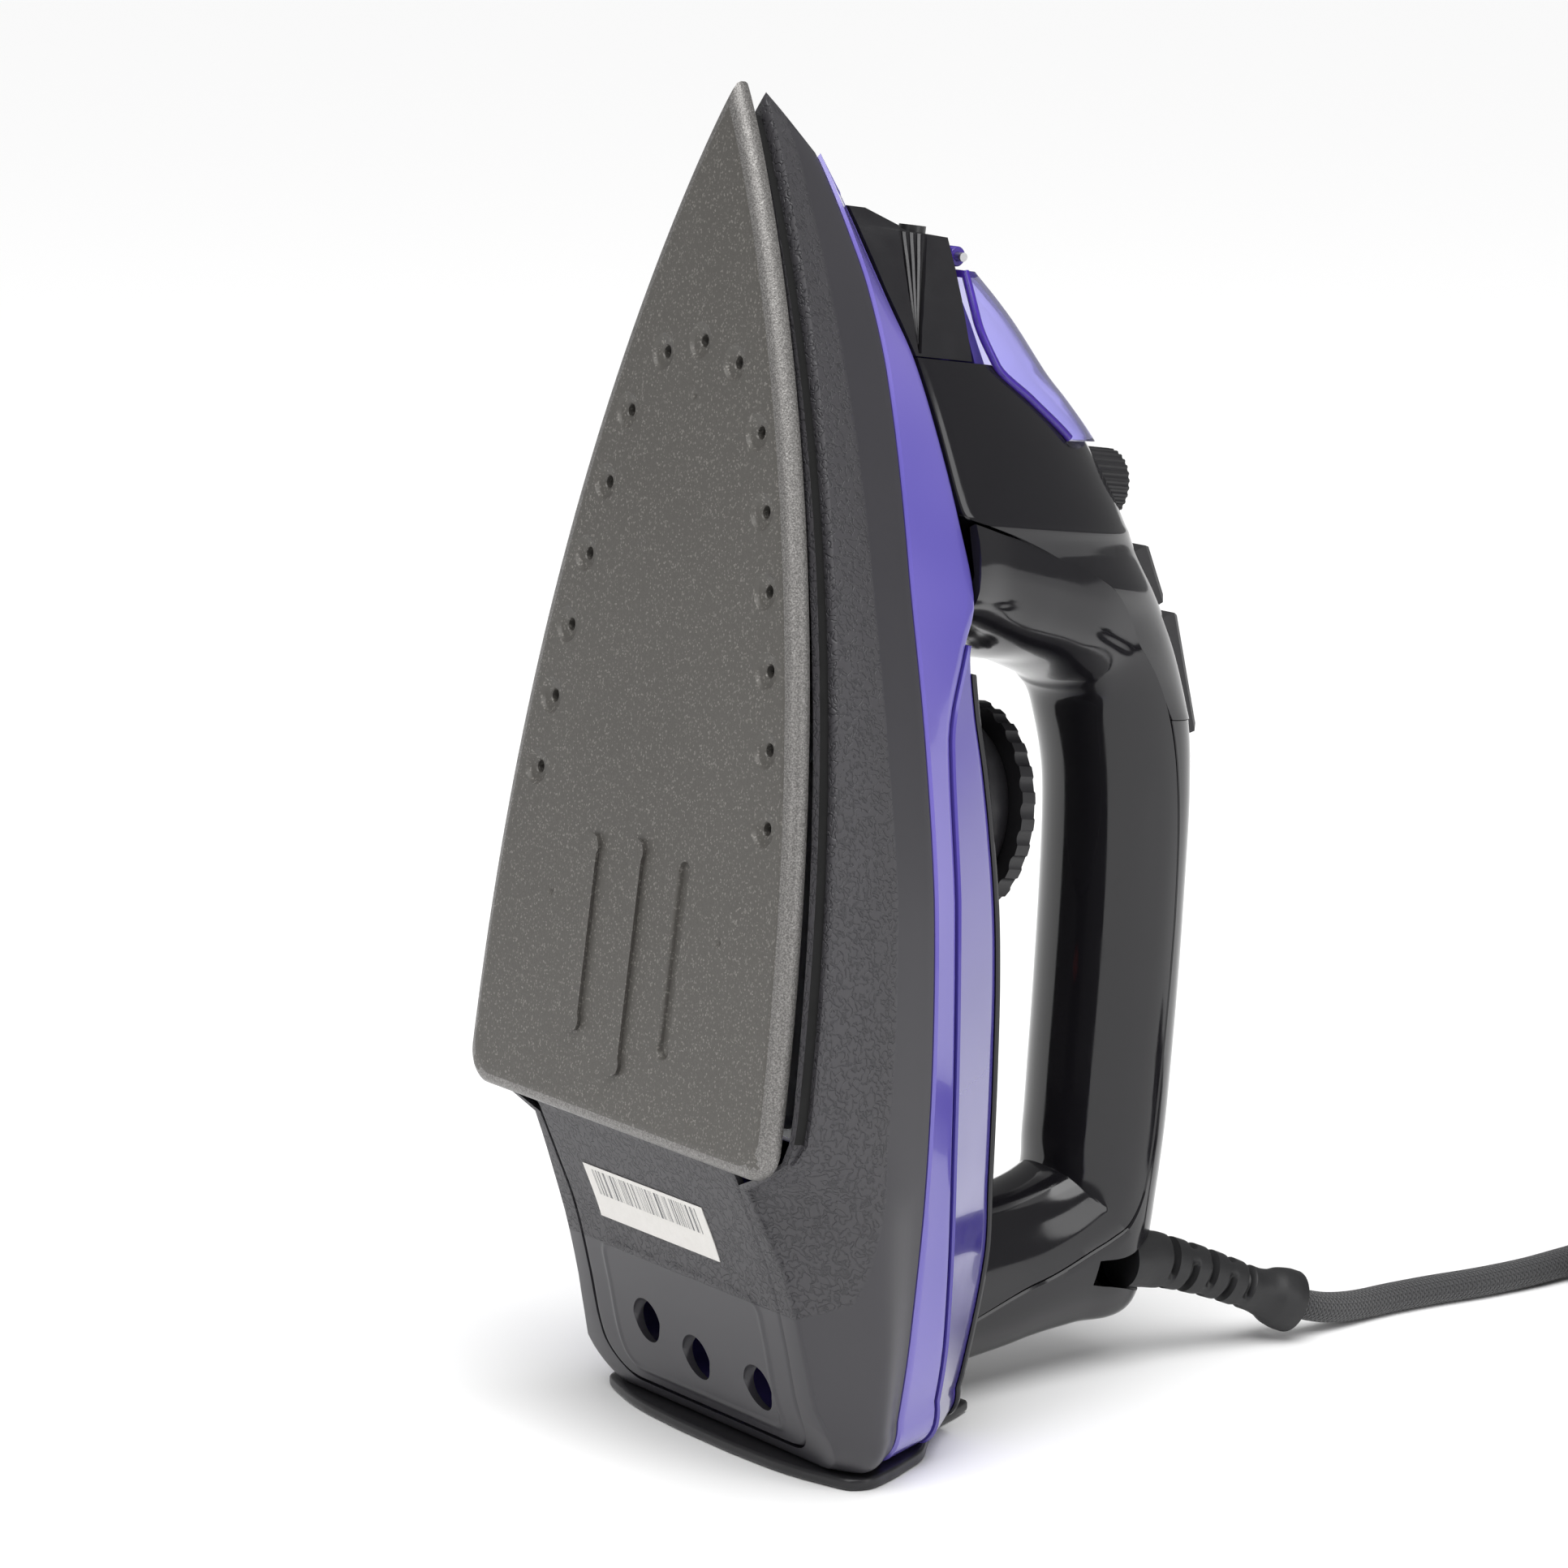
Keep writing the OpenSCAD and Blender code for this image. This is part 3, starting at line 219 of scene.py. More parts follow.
def slab_faces(rows, cols):
    """Faces of two grids, one over the other, and of the edge between them."""
    k = rows * cols
    faces = []
    for i in range(rows - 1):
        for j in range(cols - 1):
            a = i * cols + j
            faces += [(a, a + 1, a + cols + 1, a + cols),
                      (k + a, k + a + cols, k + a + cols + 1, k + a + 1)]
    edge = (list(range(cols)) + [i * cols + cols - 1 for i in range(1, rows)]
            + [(rows - 1) * cols + j for j in range(cols - 2, -1, -1)]
            + [i * cols for i in range(rows - 2, 0, -1)])
    return faces + [(a, b, k + b, k + a) for a, b in zip(edge, edge[1:] + edge[:1])]


def rounded(half, low, high, r, n):
    """Points round a rounded rectangle, n to each corner."""
    out = []
    for cx, cy, start in ((half - r, high - r, 0), (r - half, high - r, 90), (r - half, low + r, 180),
                          (half - r, low + r, 270)):
        for k in range(n):
            a = math.radians(start + 90 / (n - 1) * k)
            out.append((cx + r * math.cos(a), cy + r * math.sin(a)))
    return out


def lathe(profile, n=48, place=(0, 0, 0), turn=(0, 0, 0)):
    """Points and faces of a profile [(radius, z)] turned round Z, then turned and placed."""
    a = np.arange(n) * 2 * math.pi / n
    rot = np.array(Euler([math.radians(v) for v in turn]).to_matrix())
    verts = np.concatenate([np.stack([r * np.cos(a), r * np.sin(a), np.full(n, z)], 1)
                            for r, z in profile]) @ rot.T + np.array(place, float)
    faces = tube_faces(len(profile), n)
    faces += [tuple(range(n)), tuple(range((len(profile) - 1) * n, len(profile) * n))]
    return verts, faces


def prism(polygon, y0, y1):
    """Polygon of [x, z] run from y0 to y1."""
    return [(x, y, z) for y in (y0, y1) for x, z in polygon], prism_faces(len(polygon))


def between(rings, steps):
    """Smooth run of loops through the given ones, steps to each span."""
    k = len(rings)
    slope = [rings[min(i + 1, k - 1)] - rings[max(i - 1, 0)] for i in range(k)]
    slope = [s / (2 if 0 < i < k - 1 else 1) for i, s in enumerate(slope)]
    out = []
    for i in range(k - 1):
        for j in range(steps):
            s = j / steps
            out.append((1 + 2 * s) * (1 - s) ** 2 * rings[i] + s * (1 - s) ** 2 * slope[i]
                       + s * s * (3 - 2 * s) * rings[i + 1] + s * s * (s - 1) * slope[i + 1])
    return out + [rings[-1]]


# ------------------------------------------------------------------ materials
def new_material(name, colour, roughness, **sockets):
    mat = bpy.data.materials.new(name)
    mat.use_nodes = True
    tree = mat.node_tree
    shader = tree.nodes["Principled BSDF"]
    shader.inputs["Base Color"].default_value = (*colour, 1)
    shader.inputs["Roughness"].default_value = roughness
    for key, value in sockets.items():
        shader.inputs[key.replace("_", " ")].default_value = value
    return mat, tree, shader


def link(tree, a, b):
    tree.links.new(a, b)


def own_place(tree):
    """The object's own coordinates, as an output socket."""
    return tree.nodes.new("ShaderNodeTexCoord").outputs["Object"]


def spots(tree, scale, detail=2, rough=0.5, distortion=0, vector=None):
    """Noise over the object's own coordinates, as its output socket."""
    noise = tree.nodes.new("ShaderNodeTexNoise")
    noise.inputs["Scale"].default_value = scale
    noise.inputs["Detail"].default_value = detail
    noise.inputs["Roughness"].default_value = rough
    noise.inputs["Distortion"].default_value = distortion
    link(tree, vector or own_place(tree), noise.inputs["Vector"])
    return noise.outputs["Fac"]


def remap(tree, value, low, high, to_low, to_high):
    node = tree.nodes.new("ShaderNodeMapRange")
    for key, v in zip(("From Min", "From Max", "To Min", "To Max"), (low, high, to_low, to_high)):
        node.inputs[key].default_value = v
    link(tree, value, node.inputs["Value"])
    return node.outputs["Result"]


def mix(tree, factor, a, b):
    """Colour between a and b by a factor socket; each is a colour or a socket."""
    node = tree.nodes.new("ShaderNodeMix")
    node.data_type = "RGBA"
    link(tree, factor, node.inputs["Factor"])
    for end, v in ((node.inputs[6], a), (node.inputs[7], b)):
        if isinstance(v, tuple):
            end.default_value = (*v, 1)
        else:
            link(tree, v, end)
    return node.outputs[2]


def bump(tree, shader, height, strength, distance, under=None):
    node = tree.nodes.new("ShaderNodeBump")
    node.inputs["Strength"].default_value = strength
    node.inputs["Distance"].default_value = distance
    link(tree, height, node.inputs["Height"])
    if under is not None:
        link(tree, under, node.inputs["Normal"])
    link(tree, node.outputs["Normal"], shader.inputs["Normal"])
    return node.outputs["Normal"]


def tint(tree, shader, factor, a, b):
    """Give the shader a colour between a and b."""
    link(tree, mix(tree, factor, a, b), shader.inputs["Base Color"])


def uneven(tree, shader, value, from_low, from_high, low, high):
    """Give the shader a roughness from low to high, by a socket's value."""
    link(tree, remap(tree, value, from_low, from_high, low, high), shader.inputs["Roughness"])


def moulded(name, colour, roughness, vary=0.12, grain=900, lumps=0.08, spread=0.06, **sockets):
    """Moulded plastic: slight colour change, uneven gloss and a fine skin."""
    mat, tree, shader = new_material(name, colour, roughness, **sockets)
    broad = spots(tree, 35, 3)
    lighter = tuple(min(1, c * (1 + vary)) for c in colour)
    darker = tuple(c * (1 - vary) for c in colour)
    tint(tree, shader, broad, darker, lighter)
    uneven(tree, shader, spots(tree, 140, 4, 0.6), 0.3, 0.7, max(0.02, roughness - spread), roughness + spread)
    bump(tree, shader, spots(tree, grain, 3, 0.6), lumps, 0.0002)
    return mat


def design(tree):
    """Separate X, Y, Z sockets of the working frame, in millimetres."""
    turn = tree.nodes.new("ShaderNodeMapping")
    turn.inputs["Scale"].default_value = (1000, 1000, 1000)
    turn.inputs["Rotation"].default_value = (math.pi, LEAN - math.pi / 2, 0)
    turn.inputs["Location"].default_value = (-(SIN * CENTRE + COS * DROP), 0, -(COS * CENTRE - SIN * DROP))
    link(tree, own_place(tree), turn.inputs["Vector"])
    split = tree.nodes.new("ShaderNodeSeparateXYZ")
    link(tree, turn.outputs["Vector"], split.inputs["Vector"])
    return split.outputs


def sums(tree, operation, a, b):
    node = tree.nodes.new("ShaderNodeMath")
    node.operation = operation
    for end, v in ((node.inputs[0], a), (node.inputs[1], b)):
        if isinstance(v, (int, float)):
            end.default_value = v
        else:
            link(tree, v, end)
    return node.outputs[0]


def charcoal():
    """Skirt plastic: worm grain low down and round the heel, satin above."""
    mat, tree, shader = new_material("charcoal_plastic", (0.05, 0.048, 0.055), 0.4)
    x, y, z = design(tree)
    curve = tree.nodes.new("ShaderNodeFloatCurve")
    line = [(-80, 0), (-36, 0), (-32, 24), (-26, 29), (0, 29), (30, 28), (62, 26), (90, 22.6),
            (119, 20), (146, 19), (175, 17.5), (202, 16), (230, 15)]
    points = curve.mapping.curves[0].points
    for k, (px, pz) in enumerate(line):
        at = ((px + 80) / 310, pz / 40)
        if k == 0:
            points[0].location = at
        elif k == len(line) - 1:
            points[len(points) - 1].location = at
        else:
            points.new(*at)
    for p in points:
        p.handle_type = "VECTOR"
    curve.mapping.update()
    link(tree, remap(tree, x, -80, 230, 0, 1), curve.inputs["Value"])
    edge = sums(tree, "SUBTRACT", sums(tree, "MULTIPLY", curve.outputs["Value"], 40), z)
    mask = remap(tree, edge, -0.5, 0.5, 0, 1)
    worm = sums(tree, "ABSOLUTE", sums(tree, "SUBTRACT", spots(tree, 640, 1, 0.4, distortion=0.4), 0.5), 0)
    fine = spots(tree, 2600, 2)
    grain = remap(tree, worm, 0.01, 0.07, 0, 1)
    broad = spots(tree, 30, 3)
    satin = mix(tree, broad, (0.031, 0.03, 0.035), (0.04, 0.038, 0.044))
    grained = mix(tree, grain, (0.03, 0.029, 0.033), (0.047, 0.045, 0.05))
    tint(tree, shader, mask, satin, grained)
    uneven(tree, shader, mask, 0, 1, 0.36, 0.47)
    skin = bump(tree, shader, fine, 0.1, 0.0001)
    bump(tree, shader, sums(tree, "MULTIPLY", grain, mask), 0.6, 0.0003, skin)
    return mat


def coating():
    """Sole plate coating: warm dark grey with fine bright flecks."""
    mat, tree, shader = new_material("sole_coating", (0.09, 0.085, 0.078), 0.42, Metallic=0.25)
    cell = tree.nodes.new("ShaderNodeTexVoronoi")
    cell.inputs["Scale"].default_value = 2600
    link(tree, own_place(tree), cell.inputs["Vector"])
    grey = tree.nodes.new("ShaderNodeSeparateColor")
    link(tree, cell.outputs["Color"], grey.inputs["Color"])
    fleck = remap(tree, grey.outputs[0], 0.82, 1, 0, 1)
    base = mix(tree, spots(tree, 18, 3), (0.083, 0.078, 0.071), (0.1, 0.095, 0.087))
    tint(tree, shader, fleck, base, (0.2, 0.19, 0.175))
    uneven(tree, shader, grey.outputs[1], 0, 1, 0.36, 0.5)
    bump(tree, shader, spots(tree, 1700, 3, 0.7), 0.22, 0.0002)
    return mat


def rim_coating():
    """The rolled edge of the sole plate, where the coating is lighter and sparkles."""
    mat, tree, shader = new_material("sole_rim", (0.2, 0.19, 0.18), 0.35, Metallic=0.5)
    speck = spots(tree, 2800, 2, 0.6)
    tint(tree, shader, remap(tree, speck, 0.4, 0.7, 0, 1), (0.13, 0.125, 0.12), (0.3, 0.29, 0.28))
    uneven(tree, shader, spots(tree, 900, 2), 0.3, 0.7, 0.28, 0.44)
    bump(tree, shader, spots(tree, 1900, 3, 0.7), 0.5, 0.0003)
    return mat


def violet(name, low, high, roughness=0.1, **sockets):
    """Tinted tank plastic, deeper in places as the wall behind it changes."""
    mat, tree, shader = new_material(name, high, roughness, **sockets)
    broad = spots(tree, 14, 2, 0.4)
    tint(tree, shader, remap(tree, broad, 0.35, 0.65, 0, 1), low, high)
    uneven(tree, shader, spots(tree, 90, 4), 0.3, 0.7, max(0.03, roughness - 0.04), roughness + 0.05)
    bump(tree, shader, spots(tree, 160, 2), 0.03, 0.0004)
    return mat


def metal(name, colour, roughness, stretch=(1, 1, 60)):
    mat, tree, shader = new_material(name, colour, roughness, Metallic=1.0)
    scale = tree.nodes.new("ShaderNodeMapping")
    scale.inputs["Scale"].default_value = stretch
    link(tree, own_place(tree), scale.inputs["Vector"])
    lines = spots(tree, 400, 3, 0.6, vector=scale.outputs["Vector"])
    uneven(tree, shader, lines, 0.3, 0.7, roughness - 0.07, roughness + 0.1)
    tint(tree, shader, lines, tuple(c * 0.85 for c in colour), colour)
    bump(tree, shader, lines, 0.08, 0.0001)
    return mat


def braid():
    """Woven sleeve of the lead, from the tube's own length and turn coordinates."""
    mat, tree, shader = new_material("cord_textile", (0.018, 0.018, 0.02), 0.75, Sheen_Weight=0.25)
    uv = tree.nodes.new("ShaderNodeUVMap")
    uv.uv_map = "run"
    split = tree.nodes.new("ShaderNodeSeparateXYZ")
    link(tree, uv.outputs["UV"], split.inputs["Vector"])
    along, turn = split.outputs["X"], split.outputs["Y"]
    waves = []
    for sign in (1, -1):
        phase = sums(tree, "ADD", along, sums(tree, "MULTIPLY", turn, sign * 8.0))
        waves.append(sums(tree, "SINE", sums(tree, "MULTIPLY", phase, math.tau), 0))
    over = sums(tree, "GREATER_THAN", sums(tree, "MULTIPLY", waves[0], waves[1]), 0)
    strand = sums(tree, "MAXIMUM", sums(tree, "ABSOLUTE", waves[0], 0), sums(tree, "ABSOLUTE", waves[1], 0))
    height = sums(tree, "ADD", strand, sums(tree, "MULTIPLY", over, 0.35))
    fibre = spots(tree, 3500, 2)
    # painted shade: the colour follows the weave's height, darker down between the strands and lighter on the
    # crossing tops, with random fibre tone mixed in
    weave_shade_and_fibre = remap(tree, sums(tree, "ADD", height, sums(tree, "MULTIPLY", fibre, 0.5)), 0.6, 1.7, 0, 1)
    tint(tree, shader, weave_shade_and_fibre, (0.006, 0.006, 0.007), (0.045, 0.045, 0.048))
    bump(tree, shader, height, 0.9, 0.0005)
    return mat


def barred():
    """Label paper with plain printed bars, and no writing."""
    mat, tree, shader = new_material("label_paper", (0.8, 0.78, 0.75), 0.5)
    x, y, z = design(tree)
    lines = tree.nodes.new("ShaderNodeTexNoise")
    lines.noise_dimensions = "1D"
    lines.inputs["Scale"].default_value = 1.1
    lines.inputs["Detail"].default_value = 4
    lines.inputs["Roughness"].default_value = 0.9
    link(tree, y, lines.inputs["W"])
    bar = remap(tree, lines.outputs["Fac"], 0.515, 0.53, 0, 1)
    inside = sums(tree, "GREATER_THAN", x, -19.6)
    for test, value, limit in (("LESS_THAN", x, -13.9), ("GREATER_THAN", y, -24.2), ("LESS_THAN", y, 16.2)):
        inside = sums(tree, "MULTIPLY", inside, sums(tree, test, value, limit))
    paper = mix(tree, spots(tree, 500, 4, 0.7), (0.7, 0.68, 0.65), (0.82, 0.8, 0.77))
    tint(tree, shader, sums(tree, "MULTIPLY", bar, inside), paper, (0.06, 0.06, 0.07))
    uneven(tree, shader, spots(tree, 200, 2), 0.3, 0.7, 0.42, 0.6)
    bump(tree, shader, spots(tree, 900, 3), 0.15, 0.0001)
    return mat


MAT = {
    "sole_coating": coating(),
    "sole_rim": rim_coating(),
    "charcoal": charcoal(),
    # painted light and shade: one tank plastic in two copies, the band's lighter as if lit, the side's darker
    # as if turned from the light
    "violet": violet("violet_band_painted_lit", (0.11, 0.088, 0.4), (0.18, 0.145, 0.5), 0.12, Coat_Weight=0.5),
    "painted_shade_violet": violet("violet_side_painted_shade", (0.06, 0.045, 0.29), (0.1, 0.072, 0.37), 0.12, Coat_Weight=0.5),
    "door": violet("door_clear", (0.62, 0.6, 1.0), (0.7, 0.68, 1.0), 0.04, Transmission_Weight=0.96, IOR=1.3),
    "door_edge": violet("door_edge", (0.03, 0.008, 0.2), (0.07, 0.03, 0.38), 0.12, Transmission_Weight=0.2),
    "gloss": moulded("black_gloss", (0.0095, 0.009, 0.011), 0.1, grain=260, lumps=0.02, spread=0.04),
    "satin": moulded("black_satin", (0.0125, 0.012, 0.014), 0.34, grain=1800, lumps=0.12),
    # painted shade: near-black for the recessed skirt step, standing in for the shadow gap over the plate
    "painted_gap_shade": moulded("painted_shade_step", (0.002, 0.002, 0.002), 0.8),
    "control": moulded("control_plastic", (0.014, 0.0135, 0.0155), 0.42, grain=1500, lumps=0.2),
    "rubber": moulded("gland_rubber", (0.012, 0.012, 0.013), 0.5, grain=1200, lumps=0.2),
    "plug": moulded("plug_rubber", (0.013, 0.013, 0.014), 0.48, grain=1300, lumps=0.2),
    "tie": moulded("cord_tie", (0.02, 0.02, 0.021), 0.6, grain=2400, lumps=0.5),
    "white": moulded("white_plastic", (0.72, 0.7, 0.66), 0.4),
    "lamp": moulded("lamp_red", (0.5, 0.03, 0.02), 0.12, Transmission_Weight=0.3),
    "ceramic": moulded("ceramic", (0.68, 0.65, 0.58), 0.6, grain=1400, lumps=0.3),
    "wire": moulded("wire_sleeve", (0.25, 0.1, 0.045), 0.45),
    "cast": metal("cast_aluminium", (0.55, 0.56, 0.57), 0.5, (1, 1, 1)),
    "element": metal("element_steel", (0.36, 0.36, 0.37), 0.4),
    "sheet": metal("sheet_metal", (0.62, 0.63, 0.64), 0.3),
    "zinc": metal("zinc_steel", (0.6, 0.6, 0.61), 0.33),
    "brass": metal("brass", (0.68, 0.48, 0.19), 0.32),
    "pin": metal("pin_metal", (0.66, 0.65, 0.62), 0.24),
    "cord": braid(),
    "label": barred(),
}
SLOT_LOOK = {
    "sole_coating": "sole_coating", "cast_aluminium": "cast", "element_steel": "element",
    "sheet_metal": "sheet", "zinc_steel": "zinc", "ceramic": "ceramic", "brass": "brass",
    "charcoal_plastic": "charcoal", "black_satin": "satin", "black_gloss": "gloss",
    "violet_clear": "painted_shade_violet", "door_clear": "door", "label_paper": "label",
    "seal_rubber": "rubber", "white_plastic": "white", "lamp_red": "lamp", "wire_sleeve": "wire",
    "cord_textile": "cord", "cord_tie": "tie", "plug_rubber": "plug", "pin_metal": "pin",
}
for row in frame["record"]["subparts"]:
    node = frame["nodes"][row["node"]]
    node.data.materials.clear()
    node.data.materials.append(MAT[SLOT_LOOK[row["material_slot"]]])
for name in ("temperature_dial", "steam_knob", "spray_button", "steam_button"):
    frame["nodes"][name].data.materials.clear()
    frame["nodes"][name].data.materials.append(MAT["control"])

# ------------------------------------------------------------------ cord, gland and plug
# The lead lies with its middle LIE over the floor; the coil stands on its tie. One turn is
# wound at each place: radius, and layer up from the lowest.
LIE, TIE, LEAD = 3.6, 0.8, 7.2
COIL_OUT, COIL_IN, STRAP_R, TURN_STEPS = 40.6, 33.4, 37, 36
COIL = np.array([220.0, -56.6])


def run_through(points, steps):
    """Catmull-Rom points through the given ones."""
    p = np.asarray(points, float)
    out = []
    for i in range(len(p) - 1):
        a, b, c, d = p[max(i - 1, 0)], p[i], p[i + 1], p[min(i + 2, len(p) - 1)]
        for k in range(steps):
            t = k / steps
            out.append(0.5 * (2 * b + (c - a) * t + (2 * a - 5 * b + 4 * c - d) * t * t
                              + (3 * b - a - 3 * c + d) * t ** 3))
    return np.array(out + [p[-1]])


def swept(path, radius, sides, up=(0.13, 0.21, 1), shape=None):
    """Loops round a path, carried along it without twist."""
    path = np.asarray(path, float)
    n = len(path)
    heads = np.array([path[min(i + 1, n - 1)] - path[max(i - 1, 0)] for i in range(n)])
    heads /= np.linalg.norm(heads, axis=1)[:, None]
    side = np.cross(heads[0], up)
    side /= np.linalg.norm(side)
    angles = np.arange(sides) * 2 * math.pi / sides
    loops = []
    for i in range(n):
        side = side - heads[i] * np.dot(side, heads[i])
        side /= np.linalg.norm(side)
        lift = np.cross(side, heads[i])
        r = radius[i] if shape is None else shape(i, angles)
        r = np.broadcast_to(r, angles.shape)
        loops.append(path[i] + (r * np.cos(angles))[:, None] * side + (r * np.sin(angles))[:, None] * lift)
    return loops


gland_exit = np.array([-29.0, 8, 150])
gland_points = stand([gland_exit + p for p in ([0, 0, -8], [0, 0, 0], [-1.6, 1.4, 10], [-4, 3, 20],
                                               [-6.9, 4.7, 30], [-9.4, 6, 40])]) * 1000
gland_path = run_through(gland_points, 26)
g = np.concatenate([[0], np.cumsum(np.linalg.norm(np.diff(gland_path, axis=0), axis=1))])
gland_base = smooth([(0, 6.6), (8, 6.6), (14, 6.1), (22, 5.7), (30, 5.4), (38, 5.2), (41, 5.6),
                     (44.5, 6.9), (48, 7.4), (60, 7.3)])(g)


def gland_shape(i, angles):
    """Ribs parted by slots that leave a bridge, on alternate sides."""
    r = np.full(angles.shape, gland_base[i])
    for k, s in enumerate((12.2, 17.8, 23.4, 29.0, 34.6)):
        depth = 1.9 * math.exp(-((g[i] - s) / 0.85) ** 4)
        bridge = 1 / (1 + np.exp(-(np.cos(2 * (angles - 0.5 - math.pi / 2 * (k % 2))) + 0.72) * 14))
        r = r - depth * bridge
    return np.minimum(r, gland_base[i])


loops = swept(gland_path, None, 56, shape=gland_shape)
last = gland_path[-1]
head = last - gland_path[-2]
head /= np.linalg.norm(head)
loops += [last + (loops[-1] - last) * f + head * h for f, h in ((0.93, 0.35), (0.62, 0.3), (0.56, -2))]
v, f = solid(loops)
gland = piece("gland", v / 1000, f, "body", MAT["rubber"], ["cord_gland"], standing=False)

start = gland_points[5] + np.array([0.6, 0, -0.2])
route = [start, (108, -14.4, LIE + 3.3), (113.5, -14.4, LIE + 1.8), (120, -13.8, LIE + 0.7),
         (127, -13.2, LIE + 0.1), (136, -13, LIE), (148, -13.8, LIE), (162, -15.5, LIE),
         (176, -16.2, LIE + 0.1), (188, -16, LIE + 0.5), (COIL[0] - 25.5, -16, LIE + TIE)]
lead = [tuple(p) for p in run_through(route, 4)]
places = [(COIL_OUT, 0), (COIL_IN, 0), (COIL_IN, 1), (COIL_OUT, 1), (COIL_IN, 2), (COIL_OUT, 2)]
for k in range(-1, 5 * TURN_STEPS + 10):
    turn = k / TURN_STEPS
    now = min(int(max(turn, 0)), 5)
    r, layer = places[now]
    s = min(max((turn - now - 0.74) / 0.26, 0), 1)
    if now < 5:
        s = ease(s)
        r += (places[now + 1][0] - r) * s
        layer += (places[now + 1][1] - layer) * s
    phi = math.radians(360 / TURN_STEPS * k)
    lead.append((COIL[0] + r * math.sin(phi), COIL[1] + r * math.cos(phi), LIE + TIE + LEAD * layer))
plug_x, plug_y, plug_z = COIL[0] + COIL_OUT, COIL[1] - 34, 11.5
for k in range(1, 9):
    s = k / 8
    lead.append((plug_x, COIL[1] - 34.6 * s, plug_z + (LIE + TIE + 2 * LEAD - plug_z) * (1 - ease(s))))
lead = np.array(lead)
path = run_through(lead, 2)
loops = swept(path, [LIE] * len(path), 20)
n = len(loops[0])
v, f = solid(loops)
cord = piece("mains_cord", v / 1000, f, "body", MAT["cord"],
             ["power_cord", "cord_coil", "cord_tail"], standing=False, angle=60)
run = np.concatenate([[0], np.cumsum(np.linalg.norm(np.diff(path, axis=0), axis=1))])
layer = cord.data.uv_layers.new(name="run")
for poly in cord.data.polygons:
    ids = list(poly.vertices)
    if len(ids) != 4:
        continue
    ring = [i // n for i in ids]
    spot = [i % n for i in ids]
    for loop, a, b in zip(poly.loop_indices, ring, spot):
        if b == 0 and max(spot) == n - 1:
            b = n
        layer.data[loop].uv = (run[a] / 2.6, b / n)

# Strap round the coil
strap = rounded(LEAD + 0.6 + TIE / 2, TIE / 2, 3 * LEAD + TIE * 1.5, 2.2, 7)
loops = []
for dx, off in ((-4.5, -0.25), (-4.3, 0.36), (-3.2, 0.4), (0, 0.34), (3.2, 0.4), (4.3, 0.36), (4.5, -0.25),
                (3.9, -0.4), (-3.9, -0.4)):
    around = []
    for k, (y, z) in enumerate(strap):
        a = math.radians(15 * (k % 7) + 90 * (k // 7))
        around.append((COIL[0] + dx, COIL[1] - STRAP_R + y + off * math.cos(a), z + off * math.sin(a)))
    loops.append(np.array(around))
n = len(strap)
tie = piece("coil_strap", np.concatenate(loops) / 1000, tube_faces(len(loops), n, True), "body",
            MAT["tie"], ["coil_tie"], standing=False)

# Plug: tapered strain relief, round body with flats, grip ribs
profile = [(0.5, 0), (4.8, 0), (5.6, 0.6), (5.9, 3)]
for k in range(4):
    z, wider = 3.4 + 2.9 * k, 0.45 * k
    profile += [(5.95 + wider, z), (5.35 + wider, z + 0.5), (5.4 + wider, z + 1.4), (6.2 + wider, z + 1.9)]
profile += [(8.2, 15.6), (9.5, 16.2), (14.5, 16.9), (17.4, 18.2), (18.4, 20.4), (18.5, 24), (18.5, 31.2),
            (18.1, 32.5), (17, 33), (0.5, 33)]
v, f = lathe(profile, 72)
v = np.array(v)
PLUG_FLAT = 11.3
flat_side = np.abs(v[:, 1]) > PLUG_FLAT
limit = PLUG_FLAT - 0.5 * np.exp(-((v[:, 2] - 25) / 5) ** 2) * (np.abs(v[:, 0]) < 12)
v[:, 1] = np.where(flat_side, np.sign(v[:, 1]) * np.minimum(np.abs(v[:, 1]), limit), v[:, 1])
v = np.stack([plug_x + v[:, 0], plug_y - v[:, 2], plug_z + v[:, 1]], 1)
plug = piece("plug_shell", v / 1000, f, "body", MAT["plug"], ["plug_body"], standing=False)
bevel(frame["nodes"]["plug_pins"], 0.7, 3)

# ------------------------------------------------------------------ levels of the body
PLATE_L, PLATE_HALF, WALL, GAP = 225.0, 57.5, 2.4, 0.3
HEEL_T = 3.0


def outline_half(x, nose, w):
    u = np.clip((nose - np.asarray(x, float)) / PLATE_L, 0, 1)
    return w * np.maximum(0, 1 - (1 - u) ** 2.2) ** 0.93


def tail_at(z):
    """Where the standing heel plate cuts height z."""
    return math.tan(LEAN) * z - (DROP - HEEL_T - GAP) / COS


class Level:
    """Outline round the body: plan, inset and height along it, and the height of its tail."""
    def __init__(self, nose, half, inset, height, corner, tail_z):
        self.nose, self.half, self.corner, self.tail = nose, half, corner, tail_at(tail_z)
        self.inset, self.height = smooth(inset), smooth(height)


HALF = PLATE_HALF + 4.3
RIM = Level(225, HALF, [(-70, 11), (-64, 12), (-58, 14.8), (-50, 17.3), (-36, 17.8), (-24, 17.8), (-12, 19.6),
                        (-3, 20.6), (-1, 14), (1, 8), (4, 3), (8, 0.6), (14, 0)],
            [(-70, 42.5), (-66, 40), (-53, 31.6), (-39.5, 26.5), (-24.5, 20.3), (-12.5, 13.5), (-3, 7.9),
             (2, 5), (225, 5)], 9, 40.5)
FLANK = Level(219.5, HALF + 0.4, [(-70, 11.5), (-33, 4), (0, 0.4)],
              [(-70, 46), (-33, 35), (0, 25), (60, 21.5), (140, 17.5), (219, 14.5)], 10, 45)
BAND = Level(212.5, HALF - 1.8, [(-67, 13.5), (-33, 5), (0, 1.5), (60, 0)],
             [(-67, 51.5), (-33, 46), (-7, 43), (27, 40.2), (60, 37.6), (95, 34.4), (128, 32), (168, 31.5),
              (185, 30), (197, 27.5), (212, 24)], 11, 51.5)
